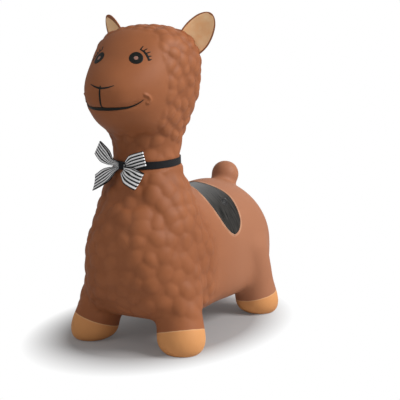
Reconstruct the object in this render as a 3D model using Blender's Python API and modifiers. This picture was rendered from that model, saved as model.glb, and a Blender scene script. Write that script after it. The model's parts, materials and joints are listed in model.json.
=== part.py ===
"""Inflatable bouncy ride-on alpaca, modelled in metres with +Z up.

The animal faces -Y and its left side is +X. The origin is on the floor, below the
middle of the object. The hollow moulded skin carries an air valve with a plug in the
saddle's left flap, and an elastic neck band with a ribbon bow.
"""

import math

import bmesh
import bpy
import numpy as np
from mathutils import Matrix, Vector
from mathutils.bvhtree import BVHTree
from mathutils.kdtree import KDTree

# Clearance between pieces that touch
FIT_GAP = 0.0003
WELD_DISTANCE = 0.00001

# Torso, measured over the smooth form under the fleece
BODY_FRONT_Y = -0.213
BODY_REAR_Y = 0.240
BODY_WIDTH = 0.208
BELLY_Z = 0.046
BACK_Z = 0.260
# Powers of the section's curve: 1 is an ellipse, and below 1 fills the corners
LOWER_POWER = 0.42
UPPER_POWER = 1.02
# Height of the section's widest place, as a share of its depth
WIDEST_SHARE = 0.42
# Columns: along the body from front to rear, half width, bottom and top.
# Each is a share of the torso's length, half its width, and its depth.
TORSO_STATION_SHARES = (
    (0.000, 0.30, 0.36, 0.66),
    (0.012, 0.45, 0.26, 0.78),
    (0.040, 0.64, 0.14, 0.90),
    (0.090, 0.81, 0.045, 1.00),
    (0.170, 0.92, 0.000, 1.06),
    (0.270, 0.955, -0.010, 1.05),
    (0.370, 0.935, -0.020, 1.01),
    (0.480, 0.905, -0.020, 0.980),
    (0.590, 0.94, -0.025, 0.978),
    (0.700, 0.99, -0.015, 0.987),
    (0.800, 0.99, 0.010, 0.955),
    (0.880, 0.92, 0.070, 0.875),
    (0.940, 0.77, 0.160, 0.765),
    (0.980, 0.55, 0.270, 0.670),
    (1.000, 0.33, 0.370, 0.570),
)

# Neck
NECK_RADIUS = 0.0560
NECK_Y = -0.108
NECK_BASE_Z = 0.190
NECK_TOP_Z = 0.420
# Columns: height as a share of base to top, radius as a share of NECK_RADIUS,
# shift to the rear as a share of NECK_RADIUS, width over depth.
NECK_STATION_SHARES = (
    (0.00, 1.62, -0.02, 1.05),
    (0.15, 1.50, -0.02, 1.05),
    (0.30, 1.32, -0.01, 1.03),
    (0.43, 1.12, 0.00, 1.00),
    (0.56, 1.00, 0.00, 1.00),
    (0.68, 1.04, 0.01, 1.00),
    (0.82, 1.18, 0.02, 1.02),
    (1.00, 1.20, 0.03, 1.02),
)

# Head: a loft of egg-shaped level rings
HEAD_BOTTOM_Z = 0.350
HEAD_TOP_Z = 0.5360
HEAD_HALF_WIDTH = 0.0860
HEAD_FRONT_Y = -0.244
HEAD_REAR_Y = -0.022
FACE_POWER = 0.95
# Columns: height, half width, and where front, widest point and rear come along the
# head's length, from its rear (0) to its front (1).
HEAD_STATION_SHARES = (
    (0.000, 0.66, 0.660, 0.37, 0.110),
    (0.060, 0.70, 0.710, 0.37, 0.095),
    (0.110, 0.76, 0.800, 0.37, 0.075),
    (0.170, 0.81, 0.885, 0.36, 0.058),
    (0.230, 0.845, 0.935, 0.35, 0.040),
    (0.300, 0.895, 0.985, 0.33, 0.020),
    (0.380, 0.935, 1.000, 0.31, 0.005),
    (0.460, 0.965, 1.000, 0.31, 0.000),
    (0.570, 0.99, 0.945, 0.31, 0.000),
    (0.700, 1.00, 0.840, 0.31, 0.000),
    (0.800, 0.96, 0.775, 0.32, 0.025),
    (0.890, 0.85, 0.690, 0.33, 0.080),
    (0.950, 0.68, 0.600, 0.33, 0.150),
    (0.985, 0.44, 0.500, 0.33, 0.225),
    (1.000, 0.18, 0.400, 0.33, 0.285),
)

# Legs and hooves
HOOF_SPREAD = 0.0935
FRONT_HOOF_Y = -0.151
REAR_HOOF_Y = 0.148
FRONT_SPLAY = math.radians(19)
REAR_SPLAY = math.radians(13)
SPLAY_TURN = math.radians(45)
HOOF_RADIUS = 0.0410
HOOF_PAINT_HEIGHT = 0.040
LEG_HEIGHT = 0.145
HOOF_SINK = 0.0040
# Columns: height up the leg as a share of LEG_HEIGHT, radius as a share of HOOF_RADIUS,
# and how much the ring tilts with the leg
LEG_STATION_SHARES = (
    (0.000, 0.45, 0.0),
    (0.015, 0.61, 0.0),
    (0.050, 0.82, 0.1),
    (0.110, 0.96, 0.4),
    (0.190, 1.01, 0.7),
    (0.300, 0.98, 1.0),
    (0.420, 0.95, 1.0),
    (0.550, 0.97, 1.0),
    (1.000, 1.08, 1.0),
)

# Tail
TAIL_RADIUS = 0.0277
TAIL_Y = 0.180
TAIL_Z = 0.257
TAIL_STEM_RADIUS = 0.019
# The stem's foot, forwards and down from the tail's middle, in tail radii
TAIL_FOOT_SHARES = (0.2, 2.2)

# Ears: leaf-shaped cups that open forwards and outwards
EAR_LENGTH = 0.0705
EAR_WIDTH = 0.0515
EAR_THICKNESS = 0.0045
EAR_STEPS = 9
EAR_CUP = 0.0100
EAR_BASE_X = 0.0645
EAR_BASE_Y = -0.083
EAR_BASE_Z = 0.497
EAR_LEAN = math.radians(34)
EAR_FORWARD = math.radians(-9)
EAR_TURN = math.radians(36)
# Columns: place along the ear, half width, and cup depth, as shares
EAR_STATION_SHARES = (
    (0.00, 0.80, 0.60),
    (0.15, 0.93, 0.90),
    (0.32, 1.00, 1.00),
    (0.50, 0.96, 0.95),
    (0.66, 0.85, 0.75),
    (0.80, 0.69, 0.50),
    (0.90, 0.50, 0.30),
    (0.965, 0.30, 0.14),
    (1.00, 0.10, 0.03),
)
EAR_EDGE_SHARE = 0.45
EAR_FOOT_SHARE = 0.12

# Fleece: domes round scattered seeds, which meet in valleys
FLEECE_HEIGHT = 0.0036
FLEECE_SINK = 0.0008
BODY_BUMP_SPACING = 0.0225
HEAD_BUMP_SPACING = 0.0175
HEAD_FLEECE_Z = 0.340
DOME_SHARE = 0.72
DOME_SPREAD_SHARE = 0.18
DOME_TALL_SHARE = 0.22
NEAREST_DOMES = 6
FLEECE_SEED = 7
FACE_EDGE_Y = -0.167
CROWN_Z = 0.500
CROWN_SLOPE = 0.5
CHIN_EDGE_Z = 0.368
FLANK_EDGE_Y = -0.040
FLANK_FADE = 0.022
FLEECE_FADE = 0.009
SHIN_EDGE_Z = 0.062
RUMP_EDGE_Y = 0.195
RUMP_SHARE = 0.30

# Mouth: its line as (x, height) from the middle to the corner, pressed into the muzzle
MOUTH = (
    (0.0000, 0.4038),
    (0.0089, 0.4036),
    (0.0196, 0.4040),
    (0.0285, 0.4049),
    (0.0360, 0.4060),
    (0.0422, 0.4083),
    (0.0479, 0.4114),
    (0.0521, 0.4147),
    (0.0556, 0.4183),
)
MOUTH_CREASE = 0.0026
CREASE_HALF = 0.0042
CREASE_FADE_SHARE = 0.8
SNOUT_Y = -0.150
# A raised crescent round each corner of the mouth
FOLD_CENTRE = (0.0565, 0.4188)
FOLD_RADIUS = 0.0066
FOLD_NARROW_SHARE = 0.62
FOLD_HALF = 0.0024
FOLD_HEIGHT = 0.0024
FOLD_TURNS = (math.radians(-65), math.radians(75))
FOLD_FADE = math.radians(35)
FOLD_REACH = 0.014
FOLD_STEPS = 2

# Skin
WALL = 0.0026
FORM_VOXEL = 0.005
SMOOTH_ROUNDS = 10
OUTER_TRIANGLES = 7100
INNER_TRIANGLES = 2400
SMOOTH_FACTOR = 0.5
LOFT_STEPS = 3
LEG_STEPS = 2

# Saddle: its outline on the left flank, as (y, turn from upright about the torso's axis)
TORSO_AXIS_Z = 0.150
SADDLE_FRONT = (
    (0.0175, 0),
    (0.0145, 9),
    (0.0085, 17),
    (0.0042, 24),
    (0.0024, 33),
    (0.0032, 42),
    (0.0064, 51),
    (0.0112, 60),
    (0.0182, 68.5),
    (0.0255, 74),
    (0.0335, 78),
    (0.0420, 80.2),
)
SADDLE_REAR = (
    (0.0530, 78.8),
    (0.0620, 75.5),
    (0.0688, 70.5),
    (0.0735, 65),
    (0.0764, 58),
    (0.0786, 51),
    (0.0801, 44),
    (0.0802, 37),
    (0.0774, 30),
    (0.0722, 23),
    (0.0668, 15.5),
    (0.0634, 7.5),
    (0.0624, 0),
)
SADDLE_STEPS = 2
RIM_RADIUS = 0.0014
RIM_SINK = 0.0004

# Air valve in the saddle's left flap
VALVE_Y = 0.0542
VALVE_TURN = math.radians(41)
VALVE_BODY_RADIUS = 0.0068
VALVE_LIP_RADIUS = 0.0080
VALVE_LIP = 0.0009
VALVE_SEAT_DEPTH = 0.0010
VALVE_FLANGE_RADIUS = 0.0092
VALVE_FLANGE = 0.0014
VALVE_GRIP = 0.0065
VALVE_TAIL = 0.0030
VALVE_LENGTH = 0.0200
BORE_RADIUS = 0.0030
PLUG_HEAD_RADIUS = 0.0052
PLUG_HEAD = 0.0014
PLUG_CROWN = 0.0005
PLUG_CROWN_SHARE = 0.75
PLUG_LENGTH = 0.0110
PLUG_NECK_SHARE = 0.55
PLUG_TIP_RADIUS = 0.0018
TURN_STEPS = 24
SHARP_ANGLE = math.radians(50)

# Neck band
BAND_Z = 0.3115
BAND_TILT = math.radians(3.8)
BAND_WIDTH = 0.0120
BAND_THICKNESS = 0.0012
BAND_SEAT_SHARE = 1.0
BAND_SEAT_RADIUS = NECK_RADIUS * BAND_SEAT_SHARE
BAND_SIDE_GAP = 0.0005
GROOVE_SLOPE = 1.3
GROOVE_SHOULDER = 0.0050
GROOVE_REACH = 0.0850
BAND_STEPS = 56

# Bow
BOW_TURN = math.radians(-9)
# The lower lobes curve out over the swell of the chest
CHEST_BEND_RADIUS = 0.030
WOOL_STEP = 0.0031
WOOL_STEP_SPAN = (0.0040, 0.0095)
RIBBON_WIDTH = 0.0255
RIBBON_THICKNESS = 0.0006
RIBBON_PINCH = 0.0064
PINCH_REACH = 0.0064
WAY_STEP_SHARE = 0.02
FAN_SHARE = 0.55
LIFT_REACH = 0.0105
LOBE_ARCH = 0.25
BACK_RIBBON_LIFT = 0.0054
FRONT_RIBBON_LIFT = 0.0106
RIBBON_FOLD_RADIUS = 0.0011
LOBE_STEPS = 9
ROW_POWER = 1.35
RIBBON_COLUMNS = 8
LOBE_BULGE = 0.0042
BULGE_POWER = 1.1
PLEAT_DEPTH = 0.0012
PLEAT_TURNS = 2.5
LAYER_STEP = 0.0015
KNOT_WIDTH = 0.0105
KNOT_HEIGHT = 0.0112
KNOT_THICKNESS = 0.0008
KNOT_POWER = 0.5
KNOT_STEPS = 20
KNOT_COLUMNS = 3
# Each ribbon's two lobes: reach to the side and upwards, of the fold's middle
FRONT_RIBBON_LOBES = ((-0.0417, 0.0295), (0.0554, -0.0180))
BACK_RIBBON_LOBES = ((-0.0442, -0.0281), (0.0523, 0.0159))


# Looks: linear colours and roughness
BROWN = (0.392, 0.144, 0.072)
TAN = (0.462, 0.212, 0.088)
PALE = (0.584, 0.352, 0.178)
DARK = (0.030, 0.029, 0.030)
SKIN_ROUGHNESS = 0.45
CLOTH_ROUGHNESS = 0.85


def clear_scene():
    for item in list(bpy.data.objects):
        bpy.data.objects.remove(item)


def evaluated_mesh(item):
    """The object's mesh with its modifiers applied."""
    bpy.context.view_layer.update()
    graph = bpy.context.evaluated_depsgraph_get()
    return bpy.data.meshes.new_from_object(item.evaluated_get(graph))


def link(name, mesh):
    item = bpy.data.objects.new(name, mesh)
    bpy.context.scene.collection.objects.link(item)
    return item


def mesh_of(form, name):
    bmesh.ops.recalc_face_normals(form, faces=form.faces)
    mesh = bpy.data.meshes.new(name)
    form.to_mesh(mesh)
    form.free()
    return mesh


def hide_helper(item):
    item.hide_render = True
    item.display_type = "WIRE"


def apply_modifiers(item):
    mesh = evaluated_mesh(item)
    item.modifiers.clear()
    item.data = mesh


def combine(item, other, operation):
    """Applies a Boolean of the other object to the item, and removes the other."""
    modifier = item.modifiers.new(operation.lower(), "BOOLEAN")
    modifier.operation = operation
    modifier.solver = "EXACT"
    modifier.object = other
    apply_modifiers(item)
    bpy.data.objects.remove(other)


def add_ellipsoid(form, centre, radii, segments=48):
    matrix = Matrix.Translation(centre) @ Matrix.Diagonal((*radii, 1))
    bmesh.ops.create_uvsphere(
        form, u_segments=segments, v_segments=segments // 2, radius=1, matrix=matrix
    )


def add_loft(form, rings, closed=False):
    """Adds a skin through the rings, each a list of the same number of points."""
    made = [[form.verts.new(point) for point in ring] for ring in rings]
    count = len(made[0])
    pairs = list(zip(made, made[1:]))
    if closed:
        pairs.append((made[-1], made[0]))
    for near, far in pairs:
        for i in range(count):
            j = (i + 1) % count
            form.faces.new((near[i], near[j], far[j], far[i]))
    if not closed:
        form.faces.new(list(reversed(made[0])))
        form.faces.new(made[-1])


def ring_points(centre, across, up, half_width, half_height, count=48):
    """Points round an ellipse."""
    points = []
    for i in range(count):
        angle = 2 * math.pi * i / count
        step = Vector(across) * math.cos(angle) * half_width
        points.append(Vector(centre) + step + Vector(up) * math.sin(angle) * half_height)
    return points


def section_points(y, half_width, low, high, count=48):
    """Points round an upright torso section: full below its widest place, rounder above."""
    middle = low + WIDEST_SHARE * (high - low)
    points = []
    for i in range(count):
        angle = 2 * math.pi * i / count
        c, s = math.cos(angle), math.sin(angle)
        power = LOWER_POWER if s < 0 else UPPER_POWER
        reach = middle - low if s < 0 else high - middle
        x = math.copysign(abs(c) ** power, c) * half_width
        points.append(Vector((x, y, middle + math.copysign(abs(s) ** power, s) * reach)))
    return points


def smooth_table(rows, steps):
    """Catmull-Rom rows between the table's rows, so that a loft has no corners."""
    rows = np.array(rows, float)
    padded = np.vstack((2 * rows[0] - rows[1], rows, 2 * rows[-1] - rows[-2]))
    made = []
    for i in range(1, len(padded) - 2):
        a, b, c, d = padded[i - 1 : i + 3]
        for k in range(steps):
            t = k / steps
            linear = 2 * b + (c - a) * t
            square = (2 * a - 5 * b + 4 * c - d) * t * t
            cube = (3 * b - a - 3 * c + d) * t * t * t
            made.append(0.5 * (linear + square + cube))
    made.append(rows[-1])
    return made


def smooth_step(value, low, high):
    share = np.clip((value - low) / (high - low), 0, 1)
    return share * share * (3 - 2 * share)


def add_torso(form):
    length = BODY_REAR_Y - BODY_FRONT_Y
    depth = BACK_Z - BELLY_Z
    rings = []
    for along, wide, bottom, top in smooth_table(TORSO_STATION_SHARES, LOFT_STEPS):
        y = BODY_FRONT_Y + along * length
        low, high = BELLY_Z + bottom * depth, BELLY_Z + top * depth
        rings.append(section_points(y, wide * BODY_WIDTH / 2, low, high))
    add_loft(form, [list(reversed(ring)) for ring in rings])


def add_neck(form):
    height = NECK_TOP_Z - NECK_BASE_Z
    rings = []
    for up, radius, back, wide in smooth_table(NECK_STATION_SHARES, LOFT_STEPS):
        centre = (0, NECK_Y + back * NECK_RADIUS, NECK_BASE_Z + up * height)
        half = radius * NECK_RADIUS
        rings.append(ring_points(centre, (1, 0, 0), (0, 1, 0), half * wide, half))
    add_loft(form, rings)


def egg_points(centre_y, z, half_width, front, rear, count=56):
    """Points round a level egg, with a fuller curve in front of its widest place."""
    points = []
    for i in range(count):
        angle = 2 * math.pi * i / count
        c, s = math.cos(angle), math.sin(angle)
        power = FACE_POWER if s < 0 else 1
        reach = rear - centre_y if s > 0 else centre_y - front
        x = math.copysign(abs(c) ** power, c) * half_width
        y = math.copysign(abs(s) ** power, s) * reach
        points.append(Vector((x, centre_y + y, z)))
    return points


def add_head(form):
    height = HEAD_TOP_Z - HEAD_BOTTOM_Z
    length = HEAD_FRONT_Y - HEAD_REAR_Y
    rings = []
    for up, wide, front, middle, rear in smooth_table(HEAD_STATION_SHARES, LOFT_STEPS):
        rings.append(
            egg_points(
                HEAD_REAR_Y + middle * length,
                HEAD_BOTTOM_Z + up * height,
                wide * HEAD_HALF_WIDTH,
                HEAD_REAR_Y + front * length,
                HEAD_REAR_Y + rear * length,
            )
        )
    add_loft(form, rings)


def leg_axis(side, front):
    """Unit vector up the leg: the legs splay outwards, and away from the middle."""
    splay = FRONT_SPLAY if front else REAR_SPLAY
    away = -1 if front else 1
    out = Vector((side * math.sin(SPLAY_TURN), away * math.cos(SPLAY_TURN), 0))
    return (Vector((0, 0, 1)) * math.cos(splay) - out * math.sin(splay)).normalized()


def sole_centre(side, front):
    """Where the leg's axis meets the sole, a little below the floor: the sole is cut flat."""
    y = FRONT_HOOF_Y if front else REAR_HOOF_Y
    return Vector((side * HOOF_SPREAD, y, -HOOF_SINK))


def add_leg(form, side, front):
    upright = Vector((0, 0, 1))
    axis = leg_axis(side, front)
    foot = sole_centre(side, front)
    rings = []
    for up, wide, tilt in smooth_table(LEG_STATION_SHARES, LEG_STEPS):
        turn = upright.rotation_difference(upright.lerp(axis, tilt)).to_matrix()
        across, along = turn @ Vector((1, 0, 0)), turn @ Vector((0, 1, 0))
        radius = wide * HOOF_RADIUS
        rings.append(ring_points(foot + axis * up * LEG_HEIGHT, across, along, radius, radius))
    add_loft(form, rings)


def add_tail(form):
    add_ellipsoid(form, (0, TAIL_Y, TAIL_Z), (TAIL_RADIUS,) * 3)
    top = Vector((0, TAIL_Y, TAIL_Z))
    foot = top - TAIL_RADIUS * Vector((0, *TAIL_FOOT_SHARES))
    stem = TAIL_STEM_RADIUS
    add_loft(form, [ring_points(p, (1, 0, 0), (0, 1, 0), stem, stem) for p in (foot, top)])


def body_form():
    """The smooth form under the fleece: all the masses joined and rounded together."""
    form = bmesh.new()
    add_torso(form)
    add_neck(form)
    add_head(form)
    for side in (1, -1):
        for front in (True, False):
            add_leg(form, side, front)
    add_tail(form)
    item = link("body_form", mesh_of(form, "body_form"))
    remesh = item.modifiers.new("join_masses", "REMESH")
    remesh.mode = "VOXEL"
    remesh.voxel_size = FORM_VOXEL
    smooth = item.modifiers.new("round_junctions", "SMOOTH")
    smooth.factor = SMOOTH_FACTOR
    smooth.iterations = SMOOTH_ROUNDS
    made = evaluated_mesh(item)
    bpy.data.objects.remove(item)
    return made


def vertex_arrays(mesh):
    """Positions and normals of the mesh's vertices."""
    count = len(mesh.vertices)
    points = np.empty(count * 3)
    normals = np.empty(count * 3)
    mesh.vertices.foreach_get("co", points)
    mesh.vertices.foreach_get("normal", normals)
    return points.reshape(-1, 3), normals.reshape(-1, 3)


def bump_spacing(points):
    """Closer bumps on the head than on the body."""
    share = smooth_step(points[:, 2], HEAD_FLEECE_Z, HEAD_FLEECE_Z + HEAD_BUMP_SPACING)
    return BODY_BUMP_SPACING + (HEAD_BUMP_SPACING - BODY_BUMP_SPACING) * share


def fleece_seeds(points):
    """Scattered points of the form, none closer to another than the bump spacing."""
    rng = np.random.default_rng(FLEECE_SEED)
    order = rng.permutation(len(points))
    spacing = bump_spacing(points)
    kept = np.empty((0, 3))
    for i in order:
        if len(kept) and ((kept - points[i]) ** 2).sum(axis=1).min() < spacing[i] ** 2:
            continue
        kept = np.vstack((kept, points[i]))
    spread = 1 + DOME_SPREAD_SHARE * rng.uniform(-1, 1, len(kept))
    radii = bump_spacing(kept) * DOME_SHARE * spread
    talls = 1 - DOME_TALL_SHARE * rng.uniform(0, 1, len(kept))
    return kept, radii, talls


def fleece_share(points):
    """How much of the fleece's height stands at each point: 1 in the wool, 0 on smooth skin."""
    x, y, z = points.T
    edge = FACE_EDGE_Y + CROWN_SLOPE * np.maximum(z - CROWN_Z, 0)
    face = 1 - smooth_step(y, edge, edge + FLEECE_FADE)
    face = face * smooth_step(z, CHIN_EDGE_Z - FLEECE_FADE, CHIN_EDGE_Z)
    flank = smooth_step(y, FLANK_EDGE_Y - FLANK_FADE, FLANK_EDGE_Y + FLANK_FADE)
    flank = flank * (1 - smooth_step(z, BACK_Z, BACK_Z + FLANK_FADE))
    shin = smooth_step(z, SHIN_EDGE_Z - FLEECE_FADE, SHIN_EDGE_Z + FLEECE_FADE)
    rump = RUMP_SHARE * smooth_step(y, RUMP_EDGE_Y, RUMP_EDGE_Y + FLANK_FADE) * flank
    tail = smooth_step(z, TAIL_Z - TAIL_RADIUS, TAIL_Z) * smooth_step(y, 0, TAIL_Y - TAIL_RADIUS)
    return np.maximum((1 - face) * (1 - flank) * shin * (1 - tail), rump * (1 - tail) * shin)


def dome_shares(points, domes):
    """Height of the tallest dome at each point, as a share of the fleece's height."""
    seeds, radii, talls = domes
    tree = KDTree(len(seeds))
    for i, seed in enumerate(seeds):
        tree.insert(seed, i)
    tree.balance()
    shares = np.empty(len(points))
    for i, point in enumerate(points):
        near = tree.find_n(point, NEAREST_DOMES)
        shares[i] = max(talls[k] * (1 - (away / radii[k]) ** 2) for _, k, away in near)
    return np.maximum(shares, 0)


def mouth_height(x):
    """Height of the mouth's line, to both sides of the middle."""
    table = np.array(MOUTH)
    return np.interp(np.abs(x), table[:, 0], table[:, 1])


def face_relief(points):
    """Height of the mouth's crease, and of the crescent folds at its corners."""
    x, y, z = points.T
    front = 1 - smooth_step(y, SNOUT_Y - CREASE_HALF, SNOUT_Y + CREASE_HALF)
    end = MOUTH[-1][0]
    along = 1 - smooth_step(np.abs(x), end * CREASE_FADE_SHARE, end)
    off = (z - mouth_height(x)) / CREASE_HALF
    crease = MOUTH_CREASE * np.exp(-(off**2)) * along
    dx, dz = (np.abs(x) - FOLD_CENTRE[0]) / FOLD_NARROW_SHARE, z - FOLD_CENTRE[1]
    ring = (np.hypot(dx, dz) - FOLD_RADIUS) / FOLD_HALF
    turn = np.arctan2(dz, dx)
    low, high = FOLD_TURNS
    arc = smooth_step(turn, low - FOLD_FADE, low) * (1 - smooth_step(turn, high, high + FOLD_FADE))
    return (FOLD_HEIGHT * np.exp(-(ring**2)) * arc - crease) * front


def refine_mouth(mesh, cuts):
    """Cuts the faces round the corners of the mouth, where the fold is small."""
    form = bmesh.new()
    form.from_mesh(mesh)
    edges = set()
    for face in form.faces:
        x, y, z = face.calc_center_median()
        if y < SNOUT_Y and math.dist((abs(x), z), FOLD_CENTRE) < FOLD_REACH:
            edges.update(face.edges)
    bmesh.ops.subdivide_edges(form, edges=list(edges), cuts=cuts, use_grid_fill=True)
    form.to_mesh(mesh)
    form.free()


def outer_skin(form_mesh):
    """The outside of the skin, with the fleece and the mouth."""
    mesh = form_mesh.copy()
    domes = fleece_seeds(vertex_arrays(mesh)[0])
    refine_mouth(mesh, FOLD_STEPS)
    points, normals = vertex_arrays(mesh)
    heights = FLEECE_HEIGHT * dome_shares(points, domes) - FLEECE_SINK
    heights = heights * fleece_share(points) + face_relief(points)
    mesh.vertices.foreach_set("co", (points + normals * heights[:, None]).ravel())
    item = link("body_skin", mesh)
    reduce_triangles(item, OUTER_TRIANGLES)
    return item


def reduce_triangles(item, count):
    modifier = item.modifiers.new("reduce", "DECIMATE")
    modifier.ratio = count / (2 * len(item.data.polygons))
    apply_modifiers(item)


def band_frame():
    """At the band's centre, Z along the neck and -Y to its front."""
    place = Matrix.Translation((0, NECK_Y, BAND_Z))
    return place @ Matrix.Rotation(BAND_TILT, 4, "X")


def within_band(points, radius):
    """The points, with those behind the band no further than this radius from its axis."""
    place = np.array(band_frame())
    turn, centre = place[:3, :3], place[:3, 3]
    local = (points - centre) @ turn
    away = np.hypot(local[:, 0], local[:, 1])
    past = np.abs(local[:, 2]) - BAND_WIDTH / 2 - BAND_SIDE_GAP
    limit = radius + np.maximum(past, 0) * GROOVE_SLOPE
    held = (past < GROOVE_SHOULDER) & (away > limit) & (away < GROOVE_REACH)
    local[:, :2] *= np.where(held, limit / np.maximum(away, WELD_DISTANCE), 1)[:, None]
    return local @ turn.T + centre


def cavity(form_mesh):
    """The air space: the form, moved in by the wall, and further behind the mouth's crease."""
    mesh = form_mesh.copy()
    points, normals = vertex_arrays(mesh)
    depth = WALL + np.maximum(-face_relief(points), 0)
    points = within_band(points - normals * depth[:, None], BAND_SEAT_RADIUS - WALL)
    points[:, 2] = np.maximum(points[:, 2], WALL)
    mesh.vertices.foreach_set("co", points.ravel())
    item = link("air_space", mesh)
    hide_helper(item)
    reduce_triangles(item, INNER_TRIANGLES)
    return item


def box(name, low, high):
    form = bmesh.new()
    low, high = Vector(low), Vector(high)
    matrix = Matrix.Translation((low + high) / 2) @ Matrix.Diagonal((*(high - low), 1))
    bmesh.ops.create_cube(form, size=1, matrix=matrix)
    item = link(name, mesh_of(form, name))
    hide_helper(item)
    return item


def turned(name, profile, steps=TURN_STEPS, closed=False):
    """A profile of (radius, height) turned about local Z with a Screw modifier."""
    form = bmesh.new()
    points = [form.verts.new((radius, 0, height)) for radius, height in profile]
    ends = points[1:] + points[:1] if closed else points[1:]
    for low, high in zip(points, ends):
        form.edges.new((low, high))
    mesh = bpy.data.meshes.new(name)
    form.to_mesh(mesh)
    form.free()
    item = link(name, mesh)
    screw = item.modifiers.new("turn", "SCREW")
    screw.steps = steps
    screw.render_steps = steps
    screw.use_merge_vertices = True
    screw.merge_threshold = WELD_DISTANCE
    apply_modifiers(item)
    form = bmesh.new()
    form.from_mesh(item.data)
    bmesh.ops.remove_doubles(form, verts=form.verts, dist=WELD_DISTANCE)
    item.data = mesh_of(form, name)
    return item


def ear_frame(side):
    """Base point, axis, way across, and the way the cup faces."""
    lean = Matrix.Rotation(side * EAR_LEAN, 3, "Y") @ Matrix.Rotation(EAR_FORWARD, 3, "X")
    axis = lean @ Vector((0, 0, 1))
    face = Vector((side * math.sin(EAR_TURN), -math.cos(EAR_TURN), 0))
    face = (face - axis * face.dot(axis)).normalized()
    base = Vector((side * EAR_BASE_X, EAR_BASE_Y, EAR_BASE_Z))
    return base, axis, axis.cross(face), face


def ear(side):
    """A leaf-shaped cup: each ring goes over its back and returns along its inside."""
    base, axis, across, face = ear_frame(side)
    steps = np.linspace(-1, 1, EAR_STEPS)
    rings = []
    for along, wide, deep in smooth_table(EAR_STATION_SHARES, 1):
        centre = base + axis * along * EAR_LENGTH
        back = []
        inside = []
        for step in steps:
            thick = EAR_THICKNESS * (1 - (1 - EAR_EDGE_SHARE) * step**2)
            thick = thick * min(1, EAR_EDGE_SHARE + wide)
            rise = deep * EAR_CUP * (1 - step**2)
            middle = centre + across * step * wide * EAR_WIDTH / 2 - face * rise
            back.append(middle - face * thick / 2)
            inside.append(middle + face * thick / 2)
        rings.append(back + list(reversed(inside)))
    form = bmesh.new()
    add_loft(form, rings)
    item = link("ear", mesh_of(form, "ear"))
    hide_helper(item)
    return item


def surface_at(tree, y, turn):
    """Point and normal of the skin, seen from the torso's axis."""
    start = Vector((0, y, TORSO_AXIS_Z))
    way = Vector((math.sin(turn), 0, math.cos(turn)))
    point, normal, _, _ = tree.ray_cast(start, way)
    return point, normal if normal.dot(way) > 0 else -normal


def saddle_outline():
    """The saddle's closed outline as rows of (y, signed turn in radians)."""
    left = [(y, math.radians(turn)) for y, turn in SADDLE_FRONT + SADDLE_REAR]
    right = [(y, -turn) for y, turn in reversed(left) if turn > 0]
    rows = left + right
    return [tuple(row) for row in smooth_table(rows + rows[:1], SADDLE_STEPS)[:-1]]


def saddle_rim(tree):
    """A thin bead along the saddle's outline: a closed curve with a round bevel."""
    outline = [surface_at(tree, y, turn) for y, turn in saddle_outline()]
    data = bpy.data.curves.new("saddle_rim", "CURVE")
    data.dimensions = "3D"
    data.bevel_depth = RIM_RADIUS
    data.bevel_resolution = 1
    spline = data.splines.new("POLY")
    spline.points.add(len(outline) - 1)
    for knot, (point, normal) in zip(spline.points, outline):
        knot.co = (*(point - normal * RIM_SINK), 1)
    spline.use_cyclic_u = True
    curve = link("saddle_rim_path", data)
    item = link("saddle_rim", evaluated_mesh(curve))
    bpy.data.objects.remove(curve)
    form = bmesh.new()
    form.from_mesh(item.data)
    item.data = mesh_of(form, "saddle_rim")
    hide_helper(item)
    return item


def valve_frame(tree):
    point, normal = surface_at(tree, VALVE_Y, VALVE_TURN)
    turn = Vector((0, 0, 1)).rotation_difference(normal).to_matrix()
    return Matrix.Translation(point) @ turn.to_4x4()


def valve_hole():
    """Cutter: a hole for the valve's body, with a flat seat for its lip."""
    hole = VALVE_BODY_RADIUS + FIT_GAP
    seat = VALVE_LIP_RADIUS + FIT_GAP
    profile = (
        (0, VALVE_LENGTH),
        (seat, VALVE_LENGTH),
        (seat, -VALVE_SEAT_DEPTH),
        (hole, -VALVE_SEAT_DEPTH),
        (hole, -VALVE_LENGTH),
        (0, -VALVE_LENGTH),
    )
    item = turned("valve_hole", profile)
    hide_helper(item)
    return item


def valve_body():
    """A grommet: lip outside, flange inside, a bore, and a cup for the plug's head."""
    lip_low = FIT_GAP - VALVE_SEAT_DEPTH
    lip_high = lip_low + VALVE_LIP
    flange_high = -VALVE_GRIP
    flange_low = flange_high - VALVE_FLANGE
    low = flange_low - VALVE_TAIL
    bore = BORE_RADIUS + FIT_GAP
    cup = PLUG_HEAD_RADIUS + FIT_GAP
    cup_floor = lip_high - PLUG_HEAD - FIT_GAP
    profile = (
        (cup, lip_high),
        ((VALVE_LIP_RADIUS + VALVE_BODY_RADIUS) / 2, lip_high),
        (VALVE_LIP_RADIUS, (lip_low + lip_high) / 2),
        (VALVE_LIP_RADIUS, lip_low),
        (VALVE_BODY_RADIUS, lip_low),
        (VALVE_BODY_RADIUS, flange_high),
        (VALVE_FLANGE_RADIUS, flange_high),
        (VALVE_FLANGE_RADIUS, flange_low),
        (VALVE_BODY_RADIUS, low),
        (bore, low),
        (bore, cup_floor),
        (cup, cup_floor),
    )
    return turned("valve_body", profile, closed=True)


def valve_plug():
    """A stopper: a low head that fills the valve's cup, and a tapered stem."""
    high = FIT_GAP - VALVE_SEAT_DEPTH + VALVE_LIP
    low = high - PLUG_HEAD
    tip = low - PLUG_LENGTH
    neck = low - PLUG_LENGTH * PLUG_NECK_SHARE
    profile = (
        (0, high + PLUG_CROWN),
        (PLUG_HEAD_RADIUS * PLUG_CROWN_SHARE, high + PLUG_CROWN / 2),
        (PLUG_HEAD_RADIUS, (low + high) / 2),
        (PLUG_HEAD_RADIUS, low),
        (BORE_RADIUS, low),
        (BORE_RADIUS, neck),
        (PLUG_TIP_RADIUS, tip),
        (0, tip),
    )
    return turned("valve_plug", profile)


def rectangle(near, far, half):
    return ((far, half), (far, -half), (near, -half), (near, half))


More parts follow.
